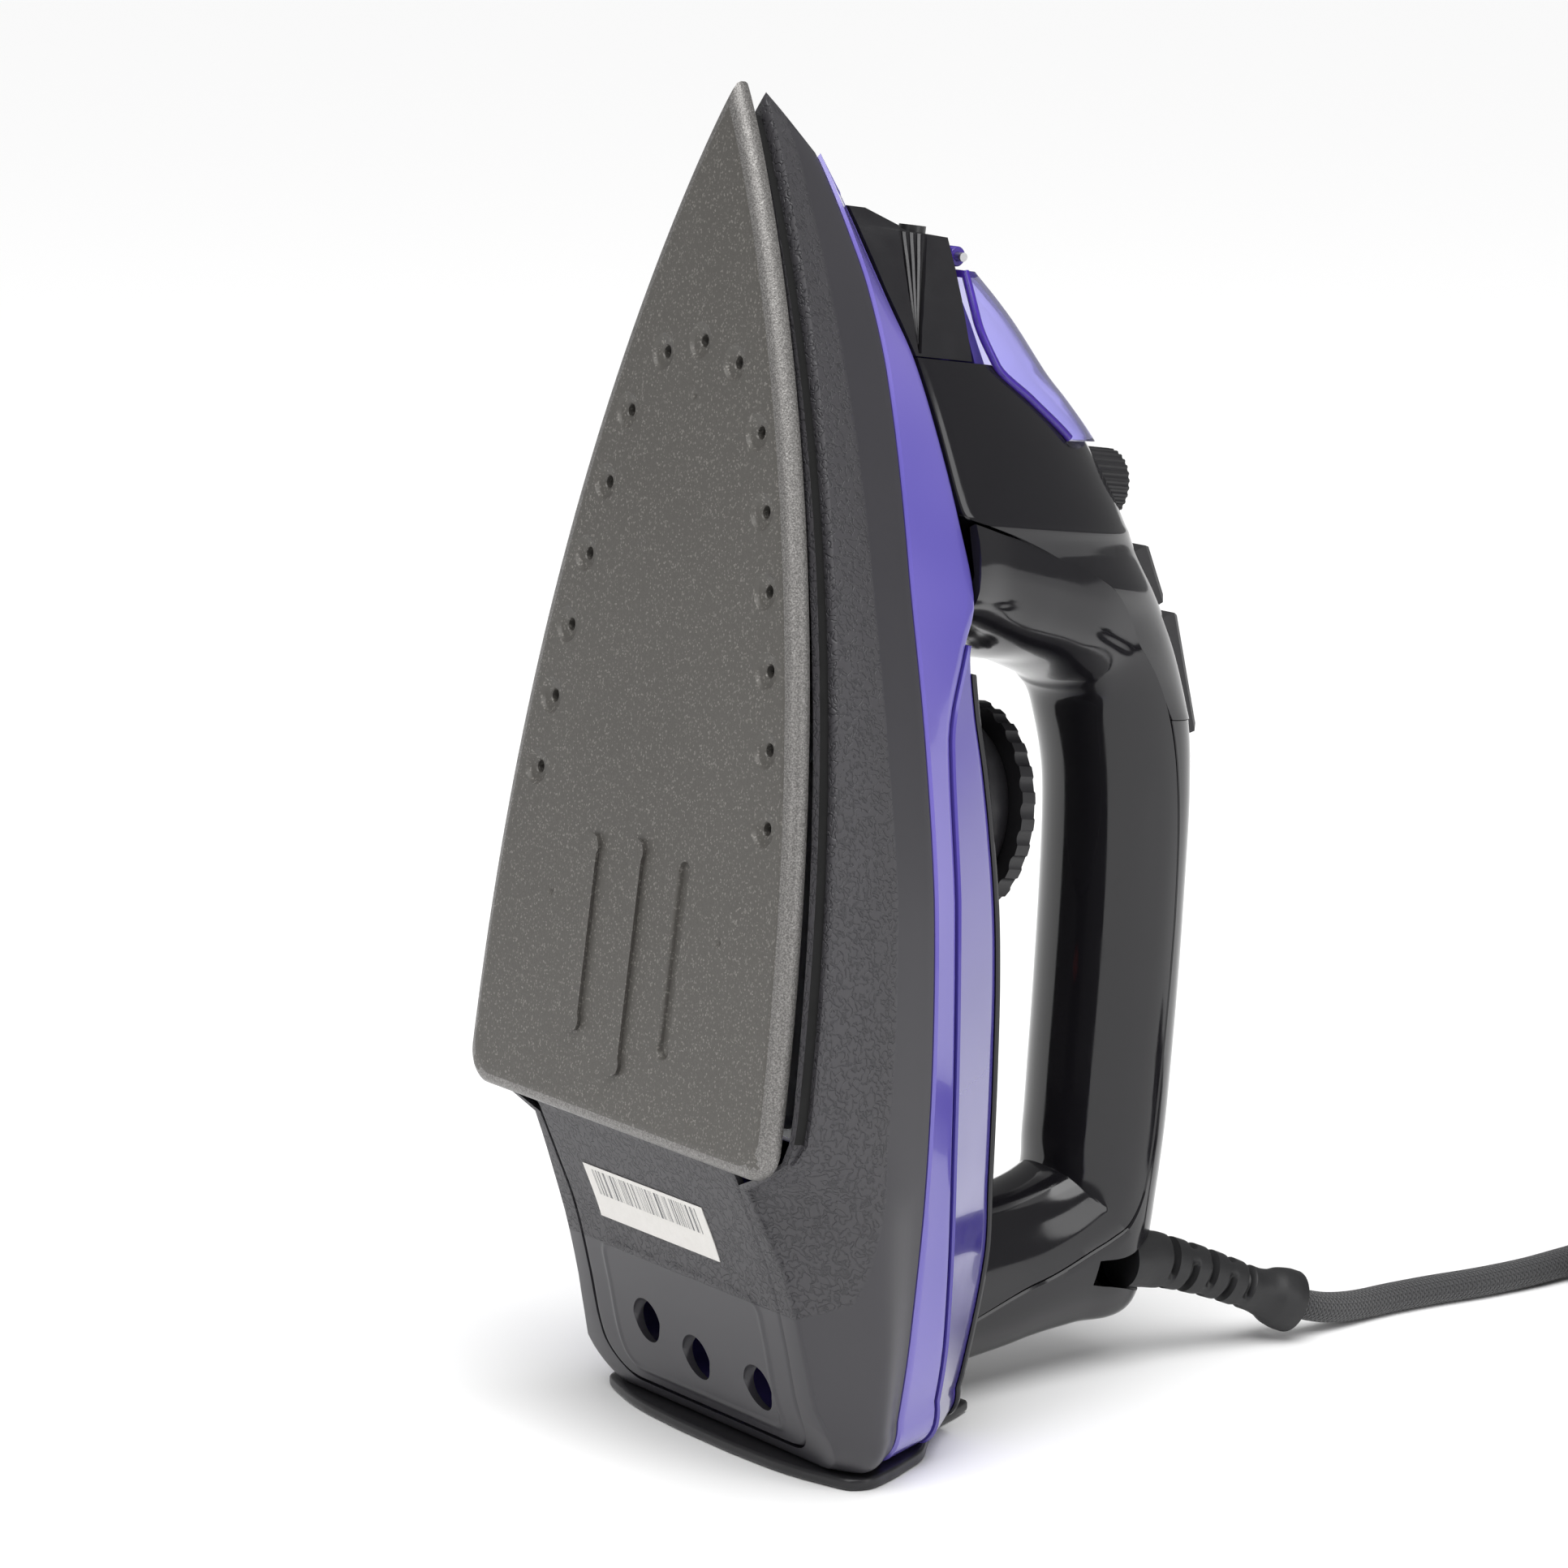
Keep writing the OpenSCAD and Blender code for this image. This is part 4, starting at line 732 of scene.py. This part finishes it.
CREASE = Level(205.5, HALF - 2.8, [(-65, 19), (-33, 7), (0, 3), (60, 0.5)],
               [(-65, 66), (-30, 57), (10, 50), (60, 45.4), (92, 43.5), (112, 48.5), (122, 52), (139, 49.5),
                (156, 46.3), (172, 42.7), (182, 38.8), (192, 35.4), (205, 31.7)], 12, 66)
TOP = Level(205.5, HALF - 2.8, [(-60, 33), (-46, 26), (-20, 20), (-3, 17), (24, 13.5), (42, 11.2), (56, 9.4),
                                (73, 7.4), (87, 5), (100, 2.8), (111, 0.6), (118, 0)],
            [(-60, 82), (-46, 79), (-20, 76.5), (-3, 72.6), (24, 68), (42, 65.2), (56, 62.8), (73, 59.3),
             (87, 55.6), (100, 52), (111, 50), (122, 52), (139, 49.5)], 8, 82)


def round_back(x, y, back, r, corner, across):
    """Carry half an outline round its rear corner and in to the middle."""
    a = np.radians(90 * np.arange(1, corner + 1) / corner)
    x = np.concatenate([x, back - r * np.sin(a)])
    y = np.concatenate([y, y[-1] - r * (1 - np.cos(a))])
    x = np.concatenate([x, np.full(across, x[-1])])
    return x, np.concatenate([y, y[-1] * np.linspace(1, 0, across + 1)[1:]])


def both_sides(x, y, z):
    """Closed loop of the left half and its mirror."""
    half = np.stack([x, y, z], 1)
    return np.concatenate([half, half[-2:0:-1] * (1, -1, 1)])


def ring(level, ahead_of_tail=0.0, inset=0.0, rise=0.0, front=0.0, cap=None, n=96, corner=10, across=6):
    """Closed loop at a level, nose first, down the left side and back up the right."""
    nose = front if front else level.nose - 3.2 * inset
    back = level.tail + ahead_of_tail + level.corner
    x = nose - (nose - back) * np.linspace(0, 1, n + 1) ** (1 if front else 1.7)
    if front:
        y = outline_half(x, level.nose, level.half) - level.inset(x) - inset
    else:
        y = outline_half(x, nose, level.half - inset) - level.inset(x)
    if cap is not None:
        y = np.where(x < -1, np.minimum(y, cap), y)
    y = np.maximum(y, 0)
    x, y = round_back(x, y, back, level.corner, corner, across)
    if front:
        t = np.linspace(0, 1, across + 1)[:-1]
        x, y = np.concatenate([np.full(across, front), x]), np.concatenate([y[0] * t, y])
    return both_sides(x, y, level.height(x) + rise)


def ahead(low, high):
    """Ring that follows low round the heel and high along the plate."""
    s = np.clip((low[:, :1] - 1) / 9, 0, 1)
    return low + (high - low) * ease(s)


# Skirt, with a recessed step along its lower edge, painted near-black as the shadow gap over the plate
outer = between([ahead(ring(RIM, rise=0.9), ring(RIM, 0, 0.5, 4.2)), ring(FLANK),
                 ring(BAND, rise=-0.6)], 9)
rings = ([ring(RIM, 0.9, 0.9), ahead(ring(RIM, 0.25, 0.25, 0.25), ring(RIM, 2.0, 2.0, 0.25)),
          ahead(ring(RIM, 0.2, 0.2, 0.3), ring(RIM, 2.1, 2.1, 3.5)),
          ahead(ring(RIM, 0.1, 0.1, 0.5), ring(RIM, 1.0, 1.0, 3.6))] + outer
         + [ring(BAND, 0.15, 0.12, -0.12), ring(BAND, 0.7, 0.7), ring(BAND, WALL, WALL),
            ring(FLANK, WALL, WALL), ring(RIM, WALL, WALL, WALL),
            ring(RIM, WALL + 0.1, WALL + 0.1, 1.2, cap=38.3),
            ring(RIM, WALL + 0.1, WALL + 0.1, cap=38.3)])
v, f = shell(rings)
skirt = piece("skirt_shell", v, f, "body", [MAT["charcoal"], MAT["painted_gap_shade"]], ["skirt"],
              angle=40)
lip = len(rings[0])
for p in skirt.data.polygons[:2 * lip]:
    # painted shadow: the step behind the edge is coloured near-black, as the shade over the plate
    p.material_index = 1 if (p.center.z * 1000 - DROP) > 6 else 0

# Heel panel: sloping cover with a raised line round a rounded rectangle, and three holes
PANEL_FRONT, PANEL_TAIL = -1.0, RIM.tail + WALL + 0.7 + GAP


def panel_half(x):
    x = np.atleast_1d(np.asarray(x, float))
    y = np.minimum(37.9, outline_half(x, RIM.nose, RIM.half) - RIM.inset(x) - WALL - 0.4)
    r = 7.5
    d = np.clip(PANEL_TAIL + r - x, 0, r)
    return y - (r - np.sqrt(r * r - d * d))


def ridge(x, y, x0, x1, w, r, line=0.6):
    """Height of a soft line round a rounded rectangle."""
    qx = np.abs(x - (x0 + x1) / 2) - (x1 - x0) / 2 + r
    qy = np.abs(y) - w + r
    d = np.hypot(np.maximum(qx, 0), np.maximum(qy, 0)) + np.minimum(np.maximum(qx, qy), 0) - r
    return np.exp(-(d / line) ** 2) + 0.5 / (1 + np.exp(d / 0.4))


rows, cols = 150, 150
xs = np.linspace(PANEL_FRONT, PANEL_TAIL, rows)
us = np.linspace(-1, 1, cols)
grid = []
for x in xs:
    wide = float(panel_half(x)[0])
    y = us * wide
    soft = 0.35 * np.exp(-(1 - np.abs(us)) * wide / 0.35)
    z = RIM.height(np.full(cols, x)) - 0.28 * ridge(x, y, -60, -30.8, 30, 4) + soft
    grid.append(np.stack([np.full(cols, x), y, z], 1))
top = np.concatenate(grid)
low = top.copy()
low[:, 2] = RIM.height(low[:, 0]) + 2.0
panel = piece("heel_panel", np.concatenate([top, low]), slab_faces(rows, cols), "body",
              MAT["charcoal"], ["heel_cover"], angle=40)
holes = []
for x, y in ((-47, -17), (-51, 1), (-52, 24)):
    z = float(RIM.height(x)[0])
    holes.append(scratch("hole", *lathe([(5.2, -9), (5.2, -0.5), (4.6, 0.3), (4.5, 1), (4.5, 12)], 48,
                                        (x, y, z), (0, -4, 0))))
cut(panel, holes, angle=40)

# Heel plate that it stands on
heel = smooth([(35.6, 10), (36.4, 24), (39, 38), (42, 46.5), (46, 48), (52.7, 46), (60, 42.5), (66.4, 39),
               (74, 31), (82, 23.5), (92, 18.5), (95.5, 16.5)])
zs = 35.6 + 59.9 * (np.linspace(0, 1, 70) ** 1.5)
outline = np.stack([zs / COS, heel(zs)], 1)
loops = []
for inset, h in ((1.4, 0), (0.5, 0.15), (0.1, 0.6), (0, 1.2), (0, 2.3), (0.25, 2.8), (1.0, 3.0)):
    mid = (outline[0, 0] + outline[-1, 0]) / 2
    zz = mid + (outline[:, 0] - mid) * (1 - inset / 30)
    yy = outline[:, 1] - inset
    x = (CENTRE - DROP * math.tan(LEAN) + zz)
    loops.append(np.stack([np.concatenate([x, x[::-1]]), np.concatenate([yy, -yy[::-1]]),
                           np.full(2 * len(x), float(h))], 1))
v, f = solid(loops)
piece("heel_foot", v / 1000, f, "body", MAT["satin"], ["heel_plate"],
      standing=False, angle=50)

# Tank band and side: the band in the lighter violet copy, the side in the darker one, painted light and shade
# on one plastic
band = between([ring(BAND, 0, 0.08, GAP + 0.9), ring(CREASE, 0, 0, -0.9)], 8)
rings = ([ring(BAND, 1.0, 1.0, GAP), ring(BAND, 0.35, 0.35, GAP + 0.15)] + band
         + [ring(CREASE, 0.3, 0.3, -0.15), ring(CREASE, 1, 1.0), ring(CREASE, WALL, WALL),
            ring(BAND, WALL, WALL, GAP)])
v, f = shell(rings)
piece("tank_band", v, f, "body", MAT["violet"], ["tank_lower"], angle=40)
FRONT = 113.0
side = between([ring(CREASE, 0, 0.08, 2 * GAP + 0.7, FRONT), ring(TOP, 0, 0.0, -0.5, FRONT)], 8)
rings = ([ring(CREASE, 0.9, 0.9, 2 * GAP, FRONT), ring(CREASE, 0.3, 0.3, 2 * GAP + 0.1, FRONT)]
         + side + [ring(TOP, 0.3, 0.3, -0.1, FRONT), ring(TOP, WALL, WALL, 0, FRONT - WALL),
                   ring(CREASE, WALL, WALL, 2 * GAP, FRONT - WALL)])
v, f = shell(rings)
piece("tank_side", v, f, "body", MAT["painted_shade_violet"], ["tank_upper"], angle=40)

# Deck over the tank, with a thin rolled lip
D = 107.0
rings = [ring(TOP, WALL + 0.4, WALL + 0.4, -2, D - 1), ring(TOP, WALL + 0.3, WALL + 0.3, GAP, D - 0.9),
         ring(TOP, 0.3, 0.3, GAP, D - 0.2), ring(TOP, 0, 0, GAP + 0.35, D),
         ring(TOP, 0.1, 0.05, GAP + 0.9, D), ring(TOP, 0.5, 0.5, GAP + 1.35, D - 0.5),
         ring(TOP, 1.6, 1.6, GAP + 1.65, D - 1.6),
         ring(TOP, 3.4, 4.5, 2.2, D - 3), ring(TOP, 7, 8.5, 2.3, D - 6)]
v, f = capped(rings)
deck = piece("deck_lid", v, f, "body", MAT["gloss"], ["deck"], angle=40)
cut(deck, [scratch("cone", *lathe([(32.3, 40), (32.3, 100)], 96, (73, 0, 0))),
           scratch("lamp", *lathe([(4.3, 40), (4.3, 100)], 48, (27, 0, 0)))], angle=40)

# ------------------------------------------------------------------ handle
def crease_half(x):
    """Half width of the body at the crease, which the handle and nose stand on."""
    return float(outline_half(x, CREASE.nose, CREASE.half) - CREASE.inset(x)[0])


EDGE = crease_half(125)
# One row to a station along the handle: x, z, turn in degrees, thickness below and above,
# half width, and height of the seam
STATIONS = [
    (125, 52.6, 90, 15, 30, EDGE + 1, 13.5), (125, 66, 92, 16, 30, EDGE - 4, 11),
    (123.5, 80, 97, 16.5, 29, EDGE - 6.5, 9), (120, 95, 108, 14.8, 30, 28.5, 7.5),
    (113.5, 113.5, 135, 16, 18, 22.5, -0.7), (97, 124.3, 180, 17.8, 17.5, 18.6, 3),
    (80, 129, 176, 16.4, 16.4, 17.5, 4.5), (52, 132, 178, 16, 16, 17.5, 5.5),
    (20, 134.3, 178, 16, 16, 17.2, 5), (0, 135.3, 180, 15.8, 15.8, 17, 4.5),
    (-10, 135, 190, 14.8, 16.4, 16.7, 4.5), (-17, 133, 212, 14.5, 21.3, 16.3, 4),
    (-19, 130, 232, 14.5, 30, 15.9, 4), (-23, 124, 246, 15, 24.5, 15.5, 3.5),
    (-29, 112, 256, 16.5, 21, 15.3, 3.5), (-33, 96, 262, 17.3, 21.5, 16, 7), (-37, 84, 264, 18, 22, 17.5, 9)]
station_at = smooth([(i, *s) for i, s in enumerate(STATIONS)])


def station_point(s, angle, inset):
    turn = math.radians(s[2])
    t = np.where(np.sin(angle) > 0, s[4], s[3]) - inset
    n, y = t * np.sin(angle), (s[5] - inset) * np.cos(angle)
    return np.stack([s[0] + n * math.sin(turn), y, s[1] - n * math.cos(turn)], 1)


def seam_angle(s, lift):
    h = s[6] + lift
    return math.asin(h / (s[4] if h > 0 else s[3]))


def arc(s, start, end, steps=34):
    """Section of a handle shell, with softened lips at its two seams."""
    lip = 0.35 / s[5] * np.sign(end - start)
    a = np.linspace(start + lip, end - lip, steps)
    out = station_point(s, a, 0)
    ends = station_point(s, np.array([start, end]), 0.4)
    inner = station_point(s, np.linspace(end, start, 12), WALL)
    return np.concatenate([ends[:1], out, ends[1:], inner])


def handle_shell(first, last, lift, over):
    loops = []
    for u in np.linspace(first, last, int((last - first) * 9) + 1):
        s = station_at(u)[0]
        a = seam_angle(s, lift)
        loops.append(arc(s, a, math.pi - a if over else -math.pi - a))
    return loops


v, f = solid(handle_shell(0, 16, 0, False))
piece("handle_inner", v, f, "body", MAT["gloss"], ["grip_shell"], angle=40)
v, f = solid(handle_shell(5, 16, 0.25, True))
cover = piece("handle_outer", v, f, "body", MAT["gloss"], ["handle_cover"], angle=40)


def box_cutter(b, grow, low, high):
    """Slot for a push button: its place, slope and half length."""
    x, z, slope, half = b
    w = 6.5 + grow
    corners = rounded(half + grow, -w, w, 1.2, 5)
    rot = np.array(Euler((0, math.radians(slope), 0)).to_matrix())
    return solid([np.array([(px, py, h) for px, py in corners]) @ rot.T + (x, 0, z) for h in (low, high)])


SPRAY, STEAM = (129.5, 128.2, 30, 7.2), (107.6, 140.9, 21.6, 14.3)
v, f = lathe([(7.2, -20), (7.2, 20)], 48, gland_exit)
cut(cover, [scratch("slot", *box_cutter(STEAM, 0.4, -14, 10)), scratch("gland", v, f)], angle=40)

# Front shell
FRONT_ROWS = [
    (171.7, 43, 0, 88.5, 43.4), (165, 44.5, 0, 96, 45), (158, 46, 0, 103, 46.5), (150, 47.5, 0, 109.5, 48),
    (144, 48.7, 0, 114, 49.2), (139.4, 49.5, 0, 117, 51), (138, 50, EDGE - 4.5, 118, 57),
    (136, 50.5, EDGE - 4.8, 119.3, 66), (133, 52, EDGE - 5, 121.5, 76.5), (127, 62, 32, 126, 92),
    (120, 80, 27.5, 131.3, 104), (112, 100, 23.5, 136, 113.5), (104, 114, 20.5, 139.7, 121.5),
    (97.2, 124.3, 18.6, 142.1, 127.3)]
FRONT_ROWS = [(x, zc, h or crease_half(x), zt, zb) for x, zc, h, zt, zb in FRONT_ROWS]
front_row = smooth([(i, *r) for i, r in enumerate(FRONT_ROWS)])
loops = []
for u in np.linspace(0, 13, 13 * 9 + 1):
    x, zc, half, crown, base = front_row(u)[0]
    if x >= 139.4:
        half = crease_half(x)
    start = math.asin(max(-1, min(1, (base + 0.25 - zc) / (crown - zc))))
    lip = 0.35 / half

    def point(a, inset):
        a = np.asarray(a)
        return np.stack([np.full(a.shape, x), (half - inset) * np.cos(a),
                         zc + (crown - zc - inset) * np.sin(a)], 1)
    end = math.pi - start
    loops.append(np.concatenate([point([start], 0.4), point(np.linspace(start + lip, end - lip, 60), 0),
                                 point([end], 0.4), point(np.linspace(end, start, 20), WALL)]))
v, f = solid(loops)
front_shell = piece("nose_shell", v, f, "body", MAT["gloss"], ["front_shell"], angle=40)
door_base = smooth([(147, 100), (158, 87), (165, 76), (171.7, 65.5), (181, 61.5), (192, 60.6)])
line = [(float(x), float(door_base(x)[0])) for x in np.linspace(157.1, 190, 26)]
cut(front_shell, [scratch("door", *prism(line + [(190, 200), (157.1, 200)], -100, 100)),
                  scratch("knob", *lathe([(8.6, -6), (8.6, 34)], 64, (147.5, 0, 104))),
                  scratch("slot", *box_cutter(SPRAY, 0.4, -14, 10)),
                  scratch("slot", *box_cutter(STEAM, 0.4, -14, 10))], angle=40)

# Nozzle block with ribs in a tapering recess on each side
block = [(172, 16.5, 43.4, 60, 0.3), (178.5, 14.1, 41, 59.5, 0.3), (185, 11.5, 38.4, 59, 0.3),
         (191.5, 8.6, 36.4, 58.4, 0.3), (197.8, 5.4, 34.4, 57.8, 0.3), (198.2, 5.2, 34.3, 47.5, 0.3),
         (202, 2.3, 33, 37, 0.2)]
v, f = solid([np.array([(x, crease_half(x) - less, z0), (x, h, z1), (x, -h, z1),
                        (x, less - crease_half(x), z0)]) for x, h, z0, z1, less in block])
nozzle_block = piece("nose_block", v, f, "body", MAT["satin"], ["nozzle_block"], angle=30)


def block_side(x, z):
    """Half width of the block's side at a place."""
    for a, b in zip(block, block[1:5]):
        if a[0] <= x <= b[0]:
            s = (x - a[0]) / (b[0] - a[0])
            rows = [(crease_half(r[0]) - r[4], r[1], r[2], r[3]) for r in (a, b)]
            y0, y1, z0, z1 = (p + (q - p) * s for p, q in zip(*rows))
            return y0 + (y1 - y0) * (z - z0) / (z1 - z0)
    return block[4][1]


def wedge(sign, corners, depth, proud):
    """Prism over a patch of the block's side, from depth below it to proud of it."""
    v = []
    for extra in (-depth, proud):
        v += [(x, sign * (block_side(min(x, 197.8), z) + extra), z) for x, z in corners]
    return v, prism_faces(len(corners))


cutters = [scratch("nozzle", *lathe([(3.05, 0), (3.05, 30)], 40, (180, 0, 52), (0, 90, 0))),
           scratch("hollow", *lathe([(7.9, 0), (7.9, 60)], 48, (176, 0, 30)))]
for sign in (1, -1):
    cutters.append(scratch("recess", *wedge(sign, [(199, 44.9), (199, 52.6), (186, 48.9), (172.6, 45.0),
                                                   (172.6, 44.2), (186, 44.3)], 1.5, 3)))
cut(nozzle_block, cutters, angle=30)
bevel(nozzle_block, 0.45, 3, 30)
for k, (z_top, z_low) in enumerate(((46.7, 44.45), (48.7, 44.6), (50.7, 44.75))):
    for sign in (1, -1):
        xs = np.linspace(197.9, 174.5, 16)
        zs = np.linspace(z_top, z_low, 16)
        wide = np.linspace(0.75, 0.22, 16)
        loops = []
        for x, z, w in zip(xs, zs, wide):
            y = block_side(min(x, 197.8), z)
            across = ((1.7, -1), (0.5, -0.8), (0.15, 0), (0.5, 0.8), (1.7, 1))
            loops.append(np.array([(x, sign * (y - deep), z + w * up) for deep, up in across]))
        v, f = solid(loops)
        piece(f"nose_rib_{k}_{'l' if sign > 0 else 'r'}", v, f, "body", MAT["satin"], angle=30)

# ------------------------------------------------------------------ water door
door_crown = smooth([(147, 111), (158, 103), (165, 96), (171.7, 88.5), (181, 79.5), (187, 72.5), (192, 65.8)])
door_side = smooth([(147, 17.5), (158, 18.4), (165, 18.3), (171.7, 17.6), (181, 14), (192, 8.2)])
DOOR_NOSE, DOOR_BACK = 194 - 2.8, 157.1 + GAP


def door_loop(x, outer, steps=40):
    crown, base, half = (float(f(x)[0]) for f in (door_crown, door_base, door_side))
    crown, base = crown + 0.9, base + GAP
    a = np.linspace(0, math.pi, steps)
    inset = 0 if outer else 1.6
    return np.stack([np.full(steps, x), (half - inset) * np.cos(a),
                     base + (crown - base - inset) * np.sin(a)], 1)


loops = []
for x in np.linspace(DOOR_NOSE, DOOR_BACK, 46):
    out, inn = door_loop(x, True), door_loop(x, False)
    loops.append(np.concatenate([out, inn[::-1]]))
v, f = solid(loops)
piece("flap", v, f, "door", MAT["door"], ["water_door"], angle=40)
# front wall of the flap, thick edge along its foot, and its hinge knuckle
nose = door_loop(DOOR_NOSE, True)
nose_in = nose * (1, 0.985, 1) - (1.6, 0, 0)
v = np.concatenate([nose, nose_in])
piece("flap_front", v, prism_faces(len(nose)), "door", MAT["door_edge"], angle=30)
for sign in (1, -1):
    path = []
    for x in np.linspace(DOOR_NOSE - 0.2, DOOR_BACK + 0.3, 40):
        path.append((x, sign * (float(door_side(x)[0]) - 0.8), float(door_base(x)[0]) + GAP + 0.75))
    loops = swept(path, [0.86] * len(path), 12)
    v, f = solid(loops)
    piece(f"flap_edge_{'l' if sign > 0 else 'r'}", v, f, "door", MAT["door_edge"], angle=50)
v, f = lathe([(1.06, -5.1), (2.0, -5.1), (2.2, -4.8), (2.2, 4.8), (2.0, 5.1), (1.06, 5.1)], 32,
             (194, 0, 61.4), (90, 0, 0))
piece("flap_knuckle", v, f[:-2], "door", MAT["door_edge"], angle=40)

# ------------------------------------------------------------------ sole plate
def plate_ring(inset, z, n=110, corner_r=7):
    """Closed loop round the sole plate, drawn in by inset."""
    nose = PLATE_L - inset * 2.2
    back = inset + corner_r
    x = nose - (nose - back) * np.linspace(0, 1, n + 1) ** 1.7
    x, y = round_back(x, outline_half(x, nose, PLATE_HALF - inset), back, corner_r, 12, 8)
    return both_sides(x, y, np.full(len(x), float(z)))


profile = [(3.6, 0), (2.6, 0.06), (1.5, 0.3), (0.8, 0.75), (0.25, 1.5), (0.02, 2.4), (0, 3.6), (0.15, 4.2),
           (0.7, 4.6), (2.4, 4.6), (2.6, 4.3), (2.6, 3)]
rings = [plate_ring(i, z) for i, z in profile]
v, f = capped(rings)
plate = piece("sole_plate", v, f, "body", [MAT["sole_coating"], MAT["sole_rim"]],
              ["soleplate"], angle=30)
VENT = [(0.02, -2), (4.6, -2), (4.1, -0.08), (3.85, 0.12), (3.45, 0.6), (3.1, 0.8), (2.1, 0.9), (1.6, 1.05),
        (1.38, 1.35), (1.3, 6), (0.02, 6)]
DIMPLE = [(0.02, -2), (1.6, -2), (1.3, -0.03), (0.9, 0.35), (0.02, 0.6)]
VENT_FRONT, VENT_STEP = 170, 16.1
cutters = []
places = [(float(VENT_FRONT), 0.0)]
for i in range(7):
    x = VENT_FRONT - (3.5 if i == 0 else 1 + VENT_STEP * i)
    y = float(outline_half(x, PLATE_L, PLATE_HALF)) - 10 - (6 if i == 0 else 0)
    places += [(x, y), (x, -y)]
for x, y in places:
    cutters.append(scratch("vent", *lathe(VENT, 40, (x, y, 0))))
for x, y in ((158.5, 0), (46.7, 32), (46.7, -32)):
    cutters.append(scratch("dimple", *lathe(DIMPLE, 24, (x, y, 0))))


def dumbbell(x, y, long):
    """Groove with round ends, soft at its edge."""
    half, end_r = [], 2.1
    for k in range(13):
        a = math.radians(-150 + 25 * k)
        half.append((long / 2 + end_r * math.cos(a), end_r * math.sin(a)))
    half = [p for p in half if p[0] > long / 2 - 1.7]
    shape = half + [(-px, -py) for px, py in half]
    loops = []
    for grow, z in ((0.7, -1), (0.45, -0.02), (0.12, 0.25), (0, 0.6), (-0.15, 1.2)):
        s = []
        for px, py in shape:
            d = math.hypot(abs(px) - long / 2, py) or 1
            s.append((x + px + grow * (px - math.copysign(long / 2, px)) / d, y + py + grow * py / d, z))
        loops.append(np.array(s))
    return solid(loops)


for k in (-1, 0, 1):
    x, long = (37.5, 46) if k == 0 else (40, 38)
    cutters.append(scratch("groove", *dumbbell(x, k * 17, long)))
cut(plate, cutters, angle=30)
ROLL = 2.9
for p in plate.data.polygons:
    # the rolled edge has its own look; its faces lie off the pressing plane, out at the rim
    c = p.center
    x = SIN * (c.x * 1000 - CENTRE) + COS * (c.z * 1000 - DROP)
    z = COS * (c.x * 1000 - CENTRE) - SIN * (c.z * 1000 - DROP)
    inside = float(outline_half(x, PLATE_L - ROLL * 2.2, PLATE_HALF - ROLL)) if x > ROLL else -1
    p.material_index = 1 if (z > 0.02 and abs(c.y * 1000) > inside) else 0
    if abs(z) < 0.01:
        p.use_smooth = False

# ------------------------------------------------------------------ label, controls
rows, cols = 24, 24
xs, ys = np.linspace(-13.0, -25.0, rows), np.linspace(-27, 19, cols)
top = np.array([(x, y, float(RIM.height(x)[0]) - 0.22) for x in xs for y in ys])
low = top + (0, 0, 0.2)
piece("label", np.concatenate([top, low]), slab_faces(rows, cols), "body", MAT["label"],
      ["rating_label"], angle=30)

for name, width in (("temperature_dial", 0.35), ("steam_knob", 0.25), ("spray_button", 0.5),
                    ("steam_button", 0.6), ("dial_base", 0.5), ("spray_nozzle", 0.25)):
    bevel(frame["nodes"][name], width, 2, 30)
for name in ("pilot_lamp", "door_pin", "heater_casting", "inlet_funnel", "tank_floor", "control_frame"):
    shade(frame["nodes"][name], 30)

# ------------------------------------------------------------------ floor and light
def flat(name, size, at, material):
    b = bmesh.new()
    bmesh.ops.create_grid(b, x_segments=1, y_segments=1, size=size)
    mesh = bpy.data.meshes.new(name)
    b.to_mesh(mesh)
    b.free()
    obj = in_scene(name, mesh)
    obj.location = at
    mesh.materials.append(material)


floor_look, tree, shader = new_material("floor", (0.99, 0.99, 0.99), 0.75, Specular_IOR_Level=0.1)
flat("floor", 14, (0, 0, 0), floor_look)


def softbox(name, at, aim, size, power, size_y=None):
    data = bpy.data.lights.new(name, "AREA")
    data.shape = "RECTANGLE"
    data.size, data.size_y = size, size_y or size
    data.energy = power
    obj = in_scene(name, data)
    obj.location = at
    obj.rotation_euler = (Vector(aim) - Vector(at)).to_track_quat("-Z", "Y").to_euler()


softbox("key", (-1.5, -0.4, 1.2), (0, 0, 0.15), 1.0, 10, 1.4)
softbox("fill", (0.5, -1.7, 0.7), (0, 0, 0.15), 0.7, 7, 1.2)
softbox("top", (0.2, 0.1, 1.9), (0, 0, 0.1), 1.6, 6)
sun = in_scene("sun", bpy.data.lights.new("sun", "SUN"))
sun.data.energy = 2.5
sun.data.angle = math.radians(50)
sun.rotation_euler = (math.radians(18), math.radians(-12), 0)
world = bpy.data.worlds.new("studio")
bpy.context.scene.world = world
world.use_nodes = True
world.node_tree.nodes["Background"].inputs["Color"].default_value = (1, 1, 1, 1)
world.node_tree.nodes["Background"].inputs["Strength"].default_value = 0.26
bpy.context.scene.view_settings.view_transform = "Standard"
